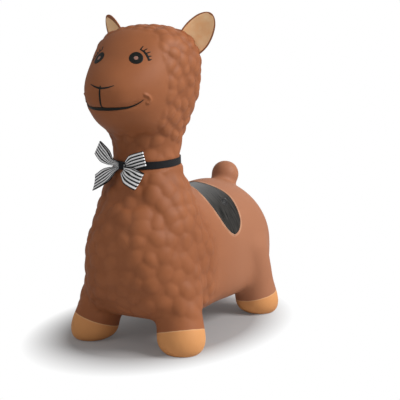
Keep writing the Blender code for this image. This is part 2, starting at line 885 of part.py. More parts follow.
def band_seat():
    """Cutter: the groove that the elastic presses into the fleece."""
    half = BAND_WIDTH / 2 + BAND_SIDE_GAP
    profile = rectangle(BAND_SEAT_RADIUS, 2 * BAND_SEAT_RADIUS, half)
    item = turned("band_seat", profile, BAND_STEPS, closed=True)
    hide_helper(item)
    return item


def neck_band():
    low = BAND_SEAT_RADIUS + FIT_GAP
    profile = rectangle(low, low + BAND_THICKNESS, BAND_WIDTH / 2)
    return turned("neck_band", profile, BAND_STEPS, closed=True)


def bow_place():
    """The bow's place on the band: -Y outwards, Z up, with its origin at the back of the knot."""
    out = BAND_SEAT_RADIUS + BAND_THICKNESS + 2 * FIT_GAP
    turn = Matrix.Rotation(BOW_TURN, 4, "Z")
    return turn @ Matrix.Translation((0, -out, 0))


def ribbon_centre(side, along, lobes):
    """A ribbon's middle line: level through the knot, then to a lobe's fold at along = 1."""
    x, z = lobes[side > 0]
    start = side * PINCH_REACH
    climb = along * (1 + LOBE_ARCH * (1 - along))
    return Vector((start + (x - start) * along, 0, z * climb))


def ribbon_across(side, along, lobes):
    """The direction across the ribbon, upright where it runs through the knot."""
    if along == 0:
        return Vector((0, 0, 1))
    ahead = ribbon_centre(side, along + WAY_STEP_SHARE, lobes)
    behind = ribbon_centre(side, along - WAY_STEP_SHARE, lobes)
    way = side * (ahead - behind)
    return Vector((0, -1, 0)).cross(way.normalized())


def ribbon_point(place, share, lobes, lift):
    """A point of a ribbon, with its place along the loop and its share across from -1 to 1."""
    side, along, rise = place
    opened = smooth_step(np.array(along), 0, FAN_SHARE).item()
    half = (RIBBON_PINCH + (RIBBON_WIDTH - RIBBON_PINCH) * opened) / 2
    across = ribbon_across(side, along, lobes)
    point = ribbon_centre(side, along, lobes) + across * share * half
    pleat = PLEAT_DEPTH * math.cos(PLEAT_TURNS * math.pi * share) * opened * (1 - along)
    bend = min(point.z, 0) ** 2 / (2 * CHEST_BEND_RADIUS)
    bend += WOOL_STEP * smooth_step(np.array(-point.z), *WOOL_STEP_SPAN).item()
    past = point.length - math.hypot(PINCH_REACH, RIBBON_PINCH / 2)
    lifted = lift * smooth_step(np.array(past), 0, LIFT_REACH).item()
    return point - Vector((0, rise + pleat + bend + lifted, 0))


def ribbon_path():
    """Places (side, along, rise) once round the ribbon's loop: along the front, back behind."""
    outwards = [(1, along) for along in np.linspace(0, 1, LOBE_STEPS) ** ROW_POWER]
    inwards = [(-1, along) for _, along in reversed(outwards)]
    ahead = []
    for side, along in (*inwards, (0, 0), *outwards):
        fold = (2 * RIBBON_FOLD_RADIUS - LAYER_STEP) * along
        swell = LOBE_BULGE * math.sin(math.pi * along**BULGE_POWER)
        ahead.append((side, along, LAYER_STEP + fold + swell))
    behind = [(side, along, 0) for side, along, _ in reversed(ahead)]
    return ahead + behind


def strip(name, grid, thickness):
    """A sheet through rows of points that closes on itself, thickened with Solidify."""
    form = bmesh.new()
    rows, columns = len(grid) + 1, len(grid[0])
    bmesh.ops.create_grid(form, x_segments=columns - 1, y_segments=rows - 1, size=1)
    form.verts.ensure_lookup_table()
    order = sorted(form.verts, key=lambda vert: (round(vert.co.y, 5), round(vert.co.x, 5)))
    for i, vert in enumerate(order):
        vert.co = grid[i // columns % len(grid)][i % columns]
    bmesh.ops.remove_doubles(form, verts=form.verts, dist=WELD_DISTANCE)
    item = link(name, mesh_of(form, name))
    solidify = item.modifiers.new("thickness", "SOLIDIFY")
    solidify.thickness = thickness
    solidify.offset = 0
    return item


def ribbon(name, lobes, level, lift):
    """A closed loop of ribbon, pinched in its middle, with a fold at each end."""
    shares = np.linspace(-1, 1, RIBBON_COLUMNS)
    grid = []
    for side, along, rise in ribbon_path():
        place = (side, along, level + rise)
        grid.append([ribbon_point(place, share, lobes, lift) for share in shares])
    return strip(name, grid, RIBBON_THICKNESS)


def bow_knot():
    """The wrap round the middle of both ribbons."""
    layers = 3 * LAYER_STEP + RIBBON_THICKNESS + 4 * FIT_GAP
    depth = (layers + KNOT_THICKNESS) / 2
    shares = np.linspace(-1, 1, KNOT_COLUMNS)
    grid = []
    for i in range(KNOT_STEPS):
        angle = 2 * math.pi * i / KNOT_STEPS
        c, s = math.cos(angle), math.sin(angle)
        y = math.copysign(abs(c) ** KNOT_POWER, c) * depth
        y += depth + KNOT_THICKNESS / 2
        z = math.copysign(abs(s) ** KNOT_POWER, s) * KNOT_HEIGHT / 2
        grid.append([Vector((share * KNOT_WIDTH / 2, -y, z)) for share in shares])
    return strip("bow_knot", grid, KNOT_THICKNESS)


def paint(item, name, colour, roughness):
    """Adds a Principled material to the item and returns its slot."""
    material = bpy.data.materials.new(name)
    material.use_nodes = True
    shader = material.node_tree.nodes["Principled BSDF"]
    shader.inputs["Base Color"].default_value = (*colour, 1)
    shader.inputs["Roughness"].default_value = roughness
    item.data.materials.append(material)
    return len(item.data.materials) - 1


def inside_outline(outline, y, turn):
    """Whether a place lies inside the closed outline, by counting crossings."""
    crossings = 0
    for (y0, turn0), (y1, turn1) in zip(outline, outline[1:] + outline[:1]):
        if (turn0 > turn) != (turn1 > turn):
            crossings += y < y0 + (y1 - y0) * (turn - turn0) / (turn1 - turn0)
    return crossings % 2 == 1


def in_ear_cup(point, normal):
    """Whether a face of the skin is on the inside of an ear."""
    base, axis, across, way = ear_frame(math.copysign(1, point.x))
    away = point - base
    within = EAR_FOOT_SHARE < away.dot(axis) / EAR_LENGTH and abs(away.dot(across)) < EAR_WIDTH / 2
    return within and normal.dot(way) > EAR_EDGE_SHARE


def paint_skin(skin):
    """Brown skin, tan hooves and ear insides, and a dark saddle."""
    skin.data.materials.clear()
    paint(skin, "skin_brown", BROWN, SKIN_ROUGHNESS)
    tan = paint(skin, "hoof_tan", TAN, SKIN_ROUGHNESS)
    dark = paint(skin, "saddle_dark", DARK, SKIN_ROUGHNESS)
    pale = paint(skin, "ear_tan", PALE, SKIN_ROUGHNESS)
    outline = saddle_outline()
    legs = [(sole_centre(s, f), leg_axis(s, f)) for s in (1, -1) for f in (True, False)]
    for face in skin.data.polygons:
        x, y, z = face.center
        turn = math.atan2(x, z - TORSO_AXIS_Z)
        slot = 0
        for foot, axis in legs:
            away = face.center - foot
            if away.dot(axis) < HOOF_PAINT_HEIGHT and away.length < 2 * HOOF_RADIUS:
                slot = tan
        if z > TORSO_AXIS_Z and inside_outline(outline, y, turn):
            slot = dark
        if in_ear_cup(face.center, face.normal):
            slot = pale
        face.material_index = slot


def gather(name, items):
    """Moves the items to a collection named for the object."""
    collection = bpy.data.collections.new(name)
    bpy.context.scene.collection.children.link(collection)
    for item in items:
        bpy.context.scene.collection.objects.unlink(item)
        collection.objects.link(item)


def hang(name, frame, places):
    """Hangs each item at its own place on one empty at the frame."""
    holder = bpy.data.objects.new(name, None)
    bpy.context.scene.collection.objects.link(holder)
    holder.matrix_world = frame
    for item, place in places:
        item.parent = holder
        item.matrix_basis = place
    return holder


def body_skin(form):
    """The hollow moulding, with holes for what it carries. Returns it and the valve's frame."""
    skin = outer_skin(form)
    tree = BVHTree.FromObject(skin, bpy.context.evaluated_depsgraph_get())
    place = valve_frame(tree)
    rim = saddle_rim(tree)
    for side in (1, -1):
        combine(skin, ear(side), "UNION")
    combine(skin, rim, "UNION")
    low = Vector((-BODY_WIDTH, 2 * BODY_FRONT_Y, -BODY_WIDTH))
    combine(skin, box("floor", low, (BODY_WIDTH, 2 * BODY_REAR_Y, 0)), "DIFFERENCE")
    seat = band_seat()
    seat.matrix_world = band_frame()
    combine(skin, seat, "DIFFERENCE")
    combine(skin, cavity(form), "DIFFERENCE")
    hole = valve_hole()
    hole.matrix_world = place
    combine(skin, hole, "DIFFERENCE")
    paint_skin(skin)
    return skin, place


def main():
    clear_scene()
    skin, place = body_skin(body_form())
    body = valve_body()
    plug = valve_plug()
    body.matrix_world = place
    plug.matrix_world = place
    band = neck_band()
    level = KNOT_THICKNESS + 2 * FIT_GAP + RIBBON_THICKNESS / 2
    back = ribbon("bow_ribbon_back", BACK_RIBBON_LOBES, level, BACK_RIBBON_LIFT)
    level += 2 * LAYER_STEP
    front = ribbon("bow_ribbon_front", FRONT_RIBBON_LOBES, level, FRONT_RIBBON_LIFT)
    knot = bow_knot()
    places = [(item, bow_place()) for item in (back, front, knot)]
    axis = hang("neck_axis", band_frame(), [(band, Matrix()), *places])
    for item in (body, plug):
        paint(item, item.name + "_black", DARK, SKIN_ROUGHNESS)
    for item in (band, back, front, knot):
        paint(item, item.name + "_cloth", DARK, CLOTH_ROUGHNESS)
    pieces = [skin, body, plug, band, back, front, knot]
    for item in pieces:
        item.data.shade_smooth()
        item.data.set_sharp_from_angle(angle=SHARP_ANGLE)
    gather("bouncy_alpaca", [axis, *pieces])


main()
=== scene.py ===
"""Looks of the bouncy alpaca, in metres with +Z up: it faces -Y and its left side is +X."""

import json
import math

import bmesh
import bpy
import numpy as np
from mathutils import Matrix, Vector
from mathutils.bvhtree import BVHTree
from mathutils.kdtree import KDTree


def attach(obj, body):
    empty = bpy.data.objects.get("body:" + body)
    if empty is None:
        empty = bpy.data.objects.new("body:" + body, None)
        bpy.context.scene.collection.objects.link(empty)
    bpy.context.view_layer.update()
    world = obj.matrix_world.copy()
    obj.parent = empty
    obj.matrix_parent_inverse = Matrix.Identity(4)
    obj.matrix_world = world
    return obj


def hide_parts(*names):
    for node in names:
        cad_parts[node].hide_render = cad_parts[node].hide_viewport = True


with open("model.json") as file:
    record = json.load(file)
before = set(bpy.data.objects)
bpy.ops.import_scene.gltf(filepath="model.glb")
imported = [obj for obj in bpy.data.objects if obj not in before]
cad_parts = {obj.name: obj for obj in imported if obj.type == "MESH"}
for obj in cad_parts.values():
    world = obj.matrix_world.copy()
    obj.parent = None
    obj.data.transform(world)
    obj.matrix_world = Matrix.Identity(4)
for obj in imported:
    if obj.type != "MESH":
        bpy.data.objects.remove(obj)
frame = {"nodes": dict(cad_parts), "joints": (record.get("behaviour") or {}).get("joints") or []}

UP = Vector((0, 0, 1))
# Clearance between pieces that touch
FIT_GAP = 0.0003
WELD_DISTANCE = 0.00001

# Torso, measured over the smooth form under the fleece
BODY_FRONT_Y = -0.213
BODY_REAR_Y = 0.24
BODY_WIDTH = 0.208
BELLY_Z = 0.046
BACK_Z = 0.26
# Powers of the section's curve below and above: 1 is an ellipse, less fills the corners
TORSO_POWERS = (0.42, 1.02)
# Height of the section's widest place, as a share of its depth
WIDEST_SHARE = 0.42
# Columns: along the body from front to rear, half width, bottom and top.
# Each is a share of the torso's length, half its width, and its depth.
TORSO_STATION_SHARES = (
    (0, 0.3, 0.36, 0.66), (0.012, 0.45, 0.26, 0.78), (0.04, 0.64, 0.14, 0.9),
    (0.09, 0.81, 0.045, 1), (0.17, 0.92, 0, 1.06), (0.27, 0.955, -0.01, 1.05),
    (0.37, 0.935, -0.02, 1.01), (0.48, 0.905, -0.02, 0.98), (0.59, 0.94, -0.025, 0.978),
    (0.7, 0.99, -0.015, 0.987), (0.8, 0.99, 0.01, 0.955), (0.88, 0.92, 0.07, 0.875),
    (0.94, 0.77, 0.16, 0.765), (0.98, 0.55, 0.27, 0.67), (1, 0.33, 0.37, 0.57),
)

# Neck
NECK_RADIUS = 0.056
NECK_Y = -0.108
NECK_BASE_Z = 0.19
NECK_TOP_Z = 0.42
# Columns: height as a share of base to top, radius as a share of NECK_RADIUS,
# shift to the rear as a share of NECK_RADIUS, width over depth.
NECK_STATION_SHARES = (
    (0, 1.62, -0.02, 1.05), (0.15, 1.5, -0.02, 1.05), (0.3, 1.32, -0.01, 1.03), (0.43, 1.12, 0, 1),
    (0.56, 1, 0, 1), (0.68, 1.04, 0.01, 1), (0.82, 1.18, 0.02, 1.02), (1, 1.2, 0.03, 1.02),
)

# Head: a loft of egg-shaped level rings
HEAD_BOTTOM_Z = 0.35
HEAD_TOP_Z = 0.536
HEAD_HALF_WIDTH = 0.086
HEAD_FRONT_Y = -0.244
HEAD_REAR_Y = -0.022
# Powers of the ring's curve in front and behind
HEAD_POWERS = (0.95, 1)
# Columns: height, half width, and where front, widest point and rear come along the
# head's length, from its rear (0) to its front (1).
HEAD_STATION_SHARES = (
    (0, 0.66, 0.66, 0.37, 0.11), (0.06, 0.7, 0.71, 0.37, 0.095), (0.11, 0.76, 0.8, 0.37, 0.075),
    (0.17, 0.81, 0.885, 0.36, 0.058), (0.23, 0.845, 0.935, 0.35, 0.04),
    (0.3, 0.895, 0.985, 0.33, 0.02), (0.38, 0.935, 1, 0.31, 0.005), (0.46, 0.965, 1, 0.31, 0),
    (0.57, 0.99, 0.945, 0.31, 0), (0.7, 1, 0.84, 0.31, 0), (0.8, 0.96, 0.775, 0.32, 0.025),
    (0.89, 0.85, 0.69, 0.33, 0.08), (0.95, 0.68, 0.6, 0.33, 0.15), (0.985, 0.44, 0.5, 0.33, 0.225),
    (1, 0.18, 0.4, 0.33, 0.285),
)

# Legs and hooves
HOOF_SPREAD = 0.0935
FRONT_HOOF_Y = -0.151
REAR_HOOF_Y = 0.148
FRONT_SPLAY = math.radians(19)
REAR_SPLAY = math.radians(13)
SPLAY_TURN = math.radians(45)
HOOF_RADIUS = 0.041
HOOF_PAINT_HEIGHT = 0.04
LEG_HEIGHT = 0.145
HOOF_SINK = 0.004
# Each leg as (side, in front)
LEGS = ((1, True), (1, False), (-1, True), (-1, False))
# Columns: height up the leg as a share of LEG_HEIGHT, radius as a share of HOOF_RADIUS,
# and how much the ring tilts with the leg
LEG_STATION_SHARES = (
    (0, 0.45, 0), (0.015, 0.61, 0), (0.05, 0.82, 0.1), (0.11, 0.96, 0.4), (0.19, 1.01, 0.7),
    (0.3, 0.98, 1), (0.42, 0.95, 1), (0.55, 0.97, 1), (1, 1.08, 1),
)

# Tail
TAIL_RADIUS = 0.0277
TAIL_Y = 0.18
TAIL_Z = 0.257
TAIL_STEM_RADIUS = 0.019
# The stem's foot, forwards and down from the tail's middle, in tail radii
TAIL_FOOT_SHARES = (0.2, 2.2)

# Ears: leaf-shaped cups that open forwards and outwards
EAR_LENGTH = 0.0705
EAR_WIDTH = 0.0515
EAR_THICKNESS = 0.0045
EAR_CUP = 0.01
EAR_BASE = (0.0645, -0.083, 0.497)
EAR_LEAN = math.radians(34)
EAR_FORWARD = math.radians(-9)
EAR_TURN = math.radians(36)
# Columns: place along the ear, half width, and cup depth, as shares
EAR_STATION_SHARES = (
    (0, 0.8, 0.6), (0.15, 0.93, 0.9), (0.32, 1, 1), (0.5, 0.96, 0.95), (0.66, 0.85, 0.75),
    (0.8, 0.69, 0.5), (0.9, 0.5, 0.3), (0.965, 0.3, 0.14), (1, 0.1, 0.03),
)
EAR_EDGE_SHARE = 0.45

# Fleece: domes round scattered seeds, which meet in valleys
FLEECE_HEIGHT = 0.0036
FLEECE_SINK = 0.0008
BODY_BUMP_SPACING = 0.0225
HEAD_BUMP_SPACING = 0.0175
HEAD_FLEECE_Z = 0.34
DOME_SHARE = 0.72
DOME_SPREAD_SHARE = 0.18
DOME_TALL_SHARE = 0.22
NEAREST_DOMES = 6
FLEECE_SEED = 7
FACE_EDGE_Y = -0.167
CROWN_Z = 0.5
CROWN_SLOPE = 0.5
CHIN_EDGE_Z = 0.368
FLANK_EDGE_Y = -0.04
FLANK_FADE = 0.022
FLEECE_FADE = 0.009
SHIN_EDGE_Z = 0.062
RUMP_EDGE_Y = 0.195
RUMP_SHARE = 0.3

# Mouth: its line as (x, height) from the middle to the corner, pressed into the muzzle
MOUTH = (
    (0, 0.4038), (0.0089, 0.4036), (0.0196, 0.404), (0.0285, 0.4049), (0.036, 0.406),
    (0.0422, 0.4083), (0.0479, 0.4114), (0.0521, 0.4147), (0.0556, 0.4183),
)
MOUTH_CREASE = 0.0026
CREASE_HALF = 0.0042
CREASE_FADE_SHARE = 0.8
SNOUT_Y = -0.15
# A raised crescent round each corner of the mouth
FOLD_CENTRE = (0.0565, 0.4188)
FOLD_RADIUS = 0.0066
FOLD_NARROW_SHARE = 0.62
FOLD_HALF = 0.0024
FOLD_HEIGHT = 0.0024
FOLD_TURNS = (math.radians(-65), math.radians(75))
FOLD_FADE = math.radians(35)
FOLD_REACH = 0.014
FOLD_STEPS = 2

# Form
RING_COUNT = 48
EGG_COUNT = 56
LOFT_STEPS = 3
LEG_STEPS = 2
FORM_VOXEL = 0.005
SMOOTH_ROUNDS = 10
SMOOTH_FACTOR = 0.5

# Saddle: its outline on the left flank, as (y, turn from upright about the torso's axis)
TORSO_AXIS_Z = 0.15
SADDLE_LEFT = (
    (0.0175, 0), (0.0145, 9), (0.0085, 17), (0.0042, 24), (0.0024, 33), (0.0032, 42), (0.0064, 51),
    (0.0112, 60), (0.0182, 68.5), (0.0255, 74), (0.0335, 78), (0.042, 80.2), (0.053, 78.8),
    (0.062, 75.5), (0.0688, 70.5), (0.0735, 65), (0.0764, 58), (0.0786, 51), (0.0801, 44),
    (0.0802, 37), (0.0774, 30), (0.0722, 23), (0.0668, 15.5), (0.0634, 7.5), (0.0624, 0),
)
SADDLE_STEPS = 2
RIM_RADIUS = 0.0014
RIM_SINK = 0.0004
RIM_STEPS = 3
RIM_BEVEL_STEPS = 4

# Air valve in the saddle's left flap
VALVE_BODY_RADIUS = 0.0068
VALVE_LIP_RADIUS = 0.008
VALVE_LIP = 0.0009
HOLE_LOW = -0.014
HOLE_HIGH = 0.02
SHARP_ANGLE = math.radians(50)

# Neck band
BAND_Z = 0.3115
BAND_TILT = math.radians(3.8)
BAND_WIDTH = 0.012
BAND_THICKNESS = 0.0012
BAND_SEAT_RADIUS = NECK_RADIUS
BAND_SIDE_GAP = 0.0005
GROOVE_SLOPE = 1.3
GROOVE_SHOULDER = 0.005
GROOVE_REACH = 0.085

# Bow
BOW_TURN = math.radians(-9)
# The lower lobes curve out over the swell of the chest
CHEST_BEND_RADIUS = 0.03
WOOL_STEP = 0.0031
WOOL_STEP_SPAN = (0.004, 0.0095)
RIBBON_WIDTH = 0.0255
RIBBON_THICKNESS = 0.0006
RIBBON_PINCH = 0.0064
PINCH_REACH = 0.0064
WAY_STEP_SHARE = 0.02
FAN_SHARE = 0.55
LIFT_REACH = 0.0105
LOBE_ARCH = 0.25
BACK_RIBBON_LIFT = 0.0054
FRONT_RIBBON_LIFT = 0.0106
RIBBON_FOLD_RADIUS = 0.0011
LOBE_STEPS = 22
ROW_POWER = 1.35
LOBE_BULGE = 0.0042
BULGE_POWER = 1.1
PLEAT_DEPTH = 0.0012
PLEAT_TURNS = 2.5
LAYER_STEP = 0.0015
KNOT_WIDTH = 0.0105
KNOT_HEIGHT = 0.0112
KNOT_THICKNESS = 0.0008
KNOT_POWER = 0.5
# Each ribbon's two lobes: reach to the side and upwards, of the fold's middle
FRONT_RIBBON_LOBES = ((-0.0417, 0.0295), (0.0554, -0.018))
BACK_RIBBON_LOBES = ((-0.0442, -0.0281), (0.0523, 0.0159))

# Finer skin; its relief is softer below the head, which starts over this span of height
FINE_VOXEL = 0.003
FINE_SMOOTH_ROUNDS = 5
RELIEF_SMOOTH_ROUNDS = 1
RELIEF_SMOOTH_SHARE = 0.8
HEAD_FROM = (0.3, 0.36)
HIP = (0.082, 0.148, 0.15)
HIP_REACH = 0.075
HIP_ROUNDS = 70
# Waves that bend the valleys: reach, radians in a metre, and start along x, y and z
WARP = 0.002
WARP_TURNS = 150.0
WARP_PHASES = (0, 2.1, 4.2)
# A dome's share below which a point gets all the painted valley shade, and above which it gets none
VALLEY_SHADE_SPAN = (0.22, 0.72)

# Painted face: lines as (x, height), with widths from end to end
NOSE = ((-0.0222, 0.4417), (-0.0099, 0.4379), (0.0011, 0.4358), (0.0125, 0.437), (0.0223, 0.44))
LIP = ((0, 0.4397), (0, 0.43), (0, 0.419), (0, 0.405))
LASH_ARC = ((0.0387, 0.4953), (0.0434, 0.4926), (0.0473, 0.4891), (0.0512, 0.484), (0.0545, 0.4782))
# Each lash from its root to its tip
LASHES = (
    ((0.0388, 0.4952), (0.0403, 0.5009)), ((0.0434, 0.4926), (0.0471, 0.4968)),
    ((0.0473, 0.4891), (0.0526, 0.4914)), ((0.051, 0.4843), (0.0554, 0.485)),
    ((0.0544, 0.4786), (0.0566, 0.4802)),
)
NOSE_WIDTHS = (0.001, 0.0024, 0.003, 0.0024, 0.001)
LIP_WIDTHS = (0.002, 0.003, 0.0031, 0.0024)
LASH_LINE_WIDTHS = (0.0014, 0.0026, 0.0022)
LASH_WIDTHS = (0.0021, 0.0018, 0.0012)
MOUTH_WIDTHS = (0.0005, 0.0027, 0.00459, 0.0054, 0.00459, 0.0027, 0.0005)
EYE = (0.0373, 0.4821)
FAR_EYE_SHIFT = 0.007
EYE_RADIUS = 0.0112
PUPIL_RADIUS = 0.0035
INK = 0.00025
LINE_STEPS = 6
LINE_STEP = 0.0009
LINE_LEAST_STEPS = 6
LINE_COLUMNS = 5
DISC_RINGS = 9
DISC_COUNT = 64
DISC_REACH = 0.02

# Finer ears: the far ear's paint stops short of its inner edge
EAR_COLUMNS = 25
EAR_STEPS = 4
EAR_TIP_SHARE = 0.04
EAR_SMOOTH_ROUNDS = 2
EAR_EDGE = 0.0024
FAR_EAR_BACK = 0.012
FAR_EAR_FROM = 0.25

# Finer saddle and cloth
SADDLE_ROUND = 0.105
FINE_COLUMNS = 29
KNOT_FINE_STEPS = 56
KNOT_FINE_COLUMNS = 13
KNOT_FOLD = 0.0003
KNOT_FOLD_TURNS = 3.0
BAND_COLUMNS = 7
BAND_FINE_STEPS = 160
RIB_SPACING = 0.0007
THREADS = 60.0
STRIPE_BORDER = 0.061
STRIPE_PITCH = 0.195
STRIPE_WHITE_SHARE = 0.52
STRIPES_END = 4.6

# Noise scales, the usual range of a noise, and detail
CLOUD_SCALE = 9.0
MOTTLE_SCALE = 60.0
GRAIN_SCALE = 900.0
GRAIN_DETAIL = 2.0
# Size of the patches in the painted highlight on the saddle's bead
RIM_HIGHLIGHT_SCALE = 35.0
CLOTH_SCALE = 300.0
NOISE_DETAIL = 3.0
NOISE_SPAN = (0.3, 0.7)
CLOUD_SPAN = (0.35, 0.65)
STREAK_SPAN = (0.36, 0.68)
STREAK_STRETCH = (420, 26)
STREAK_DETAIL = 4.0
STREAK_RELIEF = 3.0

# Where paints start and end, in metres inside their outline
HOOF_WOBBLE = 0.0004
HOOF_EDGE = 0.0006
# Span of the painted highlight along the hoof paint's top edge
HOOF_HIGHLIGHT_LINE = (0.0005, 0.002, 0.4, 0)
INNER_EDGE = 0.0008
SADDLE_EDGE = 0.0007
# The painted highlight on the saddle's raised bead: its band outside the outline, and its patchy
# strength
RIM_HIGHLIGHT_OUTER = (-0.0045, -0.0015)
RIM_HIGHLIGHT_INNER = (-0.0001, 0, 1, 0)
RIM_HIGHLIGHT_SPAN = (0.25, 0.85)

# Roughness, shine, and bumps as (strength, height)
SKIN_ROUGH = (0.54, 0.66)
SKIN_SHINE = 0.26
SKIN_RELIEF = (0.25, 0.00012)
SADDLE_ROUGH = (0.26, 0.4)
CLOTH_ROUGH = (0.62, 0.82)
CLOTH_SHINE = 0.2
CLOTH_SHEEN = 0.05
CLOTH_WEAR = 0.4
CLOTH_RELIEF = (0.5, 0.00008)
THREAD_SHARE = 0.4

# Below 0 inside an outline is off it, and this is far off
UNPAINTED = -1.0

# Colours, linear: pairs are the deepest and the lightest of a mottled one
BROWN = ((0.27, 0.088, 0.031), (0.332, 0.114, 0.043))
BROWN_WARM = (0.34, 0.108, 0.036)
# Painted shade in the fleece's valleys: its colour, and its strength below and above the head
BROWN_VALLEY_SHADE = (0.195, 0.058, 0.019)
VALLEY_SHADE_STRENGTH = (0.22, 0.36)
# Paler, greyer brown of the rear: a painted sheen of light
BROWN_PALE_SHEEN = (0.366, 0.149, 0.075)
# Painted highlight along the saddle's raised bead
BROWN_RIM_HIGHLIGHT = (0.62, 0.35, 0.22)
WARM_SHARE = 0.25
# The skin is paler behind this span along the toy: a painted sheen of light on the rump and flank
PALE_SHEEN_SPAN = (-0.06, 0.06)
TAN = ((0.61, 0.268, 0.094), (0.69, 0.318, 0.116))
# Painted highlight along the hooves' top edge
TAN_EDGE_HIGHLIGHT = (0.9, 0.62, 0.38)
EAR_TAN = ((0.92, 0.53, 0.26), (0.96, 0.67, 0.39))
SADDLE_BLACK = ((0.004, 0.004, 0.003), (0.046, 0.042, 0.038))
CLOTH_BLACK = ((0.004, 0.004, 0.005), (0.01, 0.011, 0.013))
CLOTH_WORN = (0.017, 0.018, 0.021)
CLOTH_WHITE = ((0.78, 0.79, 0.8), (0.93, 0.93, 0.93))
# Coats: deep and light colour, roughness, shine, scales of the tone and the bumps, bumps
PAINT = (0.22, (420, 1500), (0.2, 0.00008))
FACE_INK = ((0.004, 0.004, 0.003), (0.01, 0.011, 0.008), (0.42, 0.54), *PAINT)
PUPIL_PAINT = ((0.26, 0.13, 0.1), (0.33, 0.17, 0.13), (0.4, 0.52), *PAINT)
PLASTIC = (0.5, (500, 500), (0.2, 0.0001))
VALVE_PLASTIC = ((0.008, 0.008, 0.008), (0.018, 0.017, 0.017), (0.32, 0.46), *PLASTIC)

# Light and camera
WORLD_LIGHT = 0.33
WHITE_LIGHT = (1, 1, 1)
LIGHTS = (
    ("key", (2, 0.45, 1.85), 1.2, 71),
    ("fill", (-0.4, -2.4, 2.1), 1.6, 13),
    ("back", (-0.5, 2.4, 1.5), 1.8, 8),
)
LIGHT_TARGET = (0, 0, 0.25)
FLOOR_REACH = 12
FLOOR_DROP = 0.0004
# For the camera the floor is a darker grey oval round the toy, a painted shadow with a faint white
# glow in it, and white past the oval
FLOOR_LIT = (0.6, 0.6, 0.6)
FLOOR_SEEN_SHADOW_GREY = (0.36, 0.35, 0.35)
SHADOW_OVAL_FADE = (0.215, 0.315)
FLOOR_WHITE_GLOW = (0.06, 1)
SHADOW_OVAL = (1.45, 1, 1)
SHADOW_OVAL_SHIFT = (0.035, 0.012, 0)
CAMERA_PLACE = (0.8255, -1.4189, 0.4791)
CAMERA_TURN = 28.884
CAMERA_LIFT = 8.671
CAMERA_LENS = 82.66


def evaluated_mesh(item):
    """The object's mesh with its modifiers applied."""
    bpy.context.view_layer.update()
    graph = bpy.context.evaluated_depsgraph_get()
    return bpy.data.meshes.new_from_object(item.evaluated_get(graph))


def baked(item):
    """What the modifiers make of a helper object, which goes."""
    mesh = evaluated_mesh(item)
    bpy.data.objects.remove(item)
    return mesh


def link(name, data):
    item = bpy.data.objects.new(name, data)
    bpy.context.scene.collection.objects.link(item)
    return item


def add_modifier(item, kind, **settings):
    made = item.modifiers.new(kind.lower(), kind)
    for word, value in settings.items():
        setattr(made, word, value)


def apply_modifiers(item):
    item.data = evaluated_mesh(item)
    item.modifiers.clear()


def piece(name, mesh, material):
    """A smoothly shaded object of one material."""
    mesh.materials.clear()
    mesh.materials.append(material)
    mesh.shade_smooth()
    return link(name, mesh)


def mesh_of(form, name):
    bmesh.ops.recalc_face_normals(form, faces=form.faces)
    mesh = bpy.data.meshes.new(name)
    form.to_mesh(mesh)
    form.free()
    return mesh


def join_rows(form, rows):
    """Faces between rows of vertices; a ring ends with its first one again."""
    for near, far in zip(rows, rows[1:]):
        for corners in zip(near, near[1:], far[1:], far):
            form.faces.new(corners)


def add_loft(form, rings):
    """Adds a closed skin through rings of the same number of points."""
    made = [[form.verts.new(point) for point in ring] for ring in rings]
    join_rows(form, [ring + ring[:1] for ring in made])
    form.faces.new(list(reversed(made[0])))
    form.faces.new(made[-1])


def circle_steps(count):
    """Cosine and sine of so many even steps once round."""
    turns = [2 * math.pi * i / count for i in range(count)]
    return [(math.cos(turn), math.sin(turn)) for turn in turns]


def signed_power(value, power):
    return math.copysign(abs(value) ** power, value)


def ring_points(centre, half_width, half_height, across=(1, 0, 0), up=(0, 1, 0)):
    """Points round an ellipse."""
    points = []
    for c, s in circle_steps(RING_COUNT):
        step = Vector(across) * c * half_width
        points.append(Vector(centre) + step + Vector(up) * s * half_height)
    return points


def oval_points(half_width, middle, low, high, powers, count):
    """Rows (across, along) round an oval, with a reach and a power for each end."""
    points = []
    for c, s in circle_steps(count):
        power = powers[s >= 0]
        reach = middle - low if s < 0 else high - middle
        along = middle + signed_power(s, power) * reach
        points.append((signed_power(c, power) * half_width, along))
    return points


def smooth_table(rows, steps):
    """Catmull-Rom rows between a table's rows."""
    rows = np.array(rows, float)
    padded = np.vstack((2 * rows[0] - rows[1], rows, 2 * rows[-1] - rows[-2]))
    made = []
    for a, b, c, d in zip(padded, padded[1:], padded[2:], padded[3:]):
        for t in np.arange(steps) / steps:
            linear = 2 * b + (c - a) * t
            square = (2 * a - 5 * b + 4 * c - d) * t * t
            cube = (3 * b - a - 3 * c + d) * t * t * t
            made.append(0.5 * (linear + square + cube))
    return [*made, rows[-1]]


def smooth_step(value, low, high):
    share = np.clip((value - low) / (high - low), 0, 1)
    return share * share * (3 - 2 * share)


def add_torso(form):
    length = BODY_REAR_Y - BODY_FRONT_Y
    depth = BACK_Z - BELLY_Z
    rings = []
    for along, wide, bottom, top in smooth_table(TORSO_STATION_SHARES, LOFT_STEPS):
        y = BODY_FRONT_Y + along * length
        low, high = BELLY_Z + bottom * depth, BELLY_Z + top * depth
        middle = low + WIDEST_SHARE * (high - low)
        ring = oval_points(wide * BODY_WIDTH / 2, middle, low, high, TORSO_POWERS, RING_COUNT)
        rings.append([(x, y, z) for x, z in reversed(ring)])
    add_loft(form, rings)


def add_neck(form):
    height = NECK_TOP_Z - NECK_BASE_Z
    rings = []
    for up, radius, back, wide in smooth_table(NECK_STATION_SHARES, LOFT_STEPS):
        centre = (0, NECK_Y + back * NECK_RADIUS, NECK_BASE_Z + up * height)
        half = radius * NECK_RADIUS
        rings.append(ring_points(centre, half * wide, half))
    add_loft(form, rings)


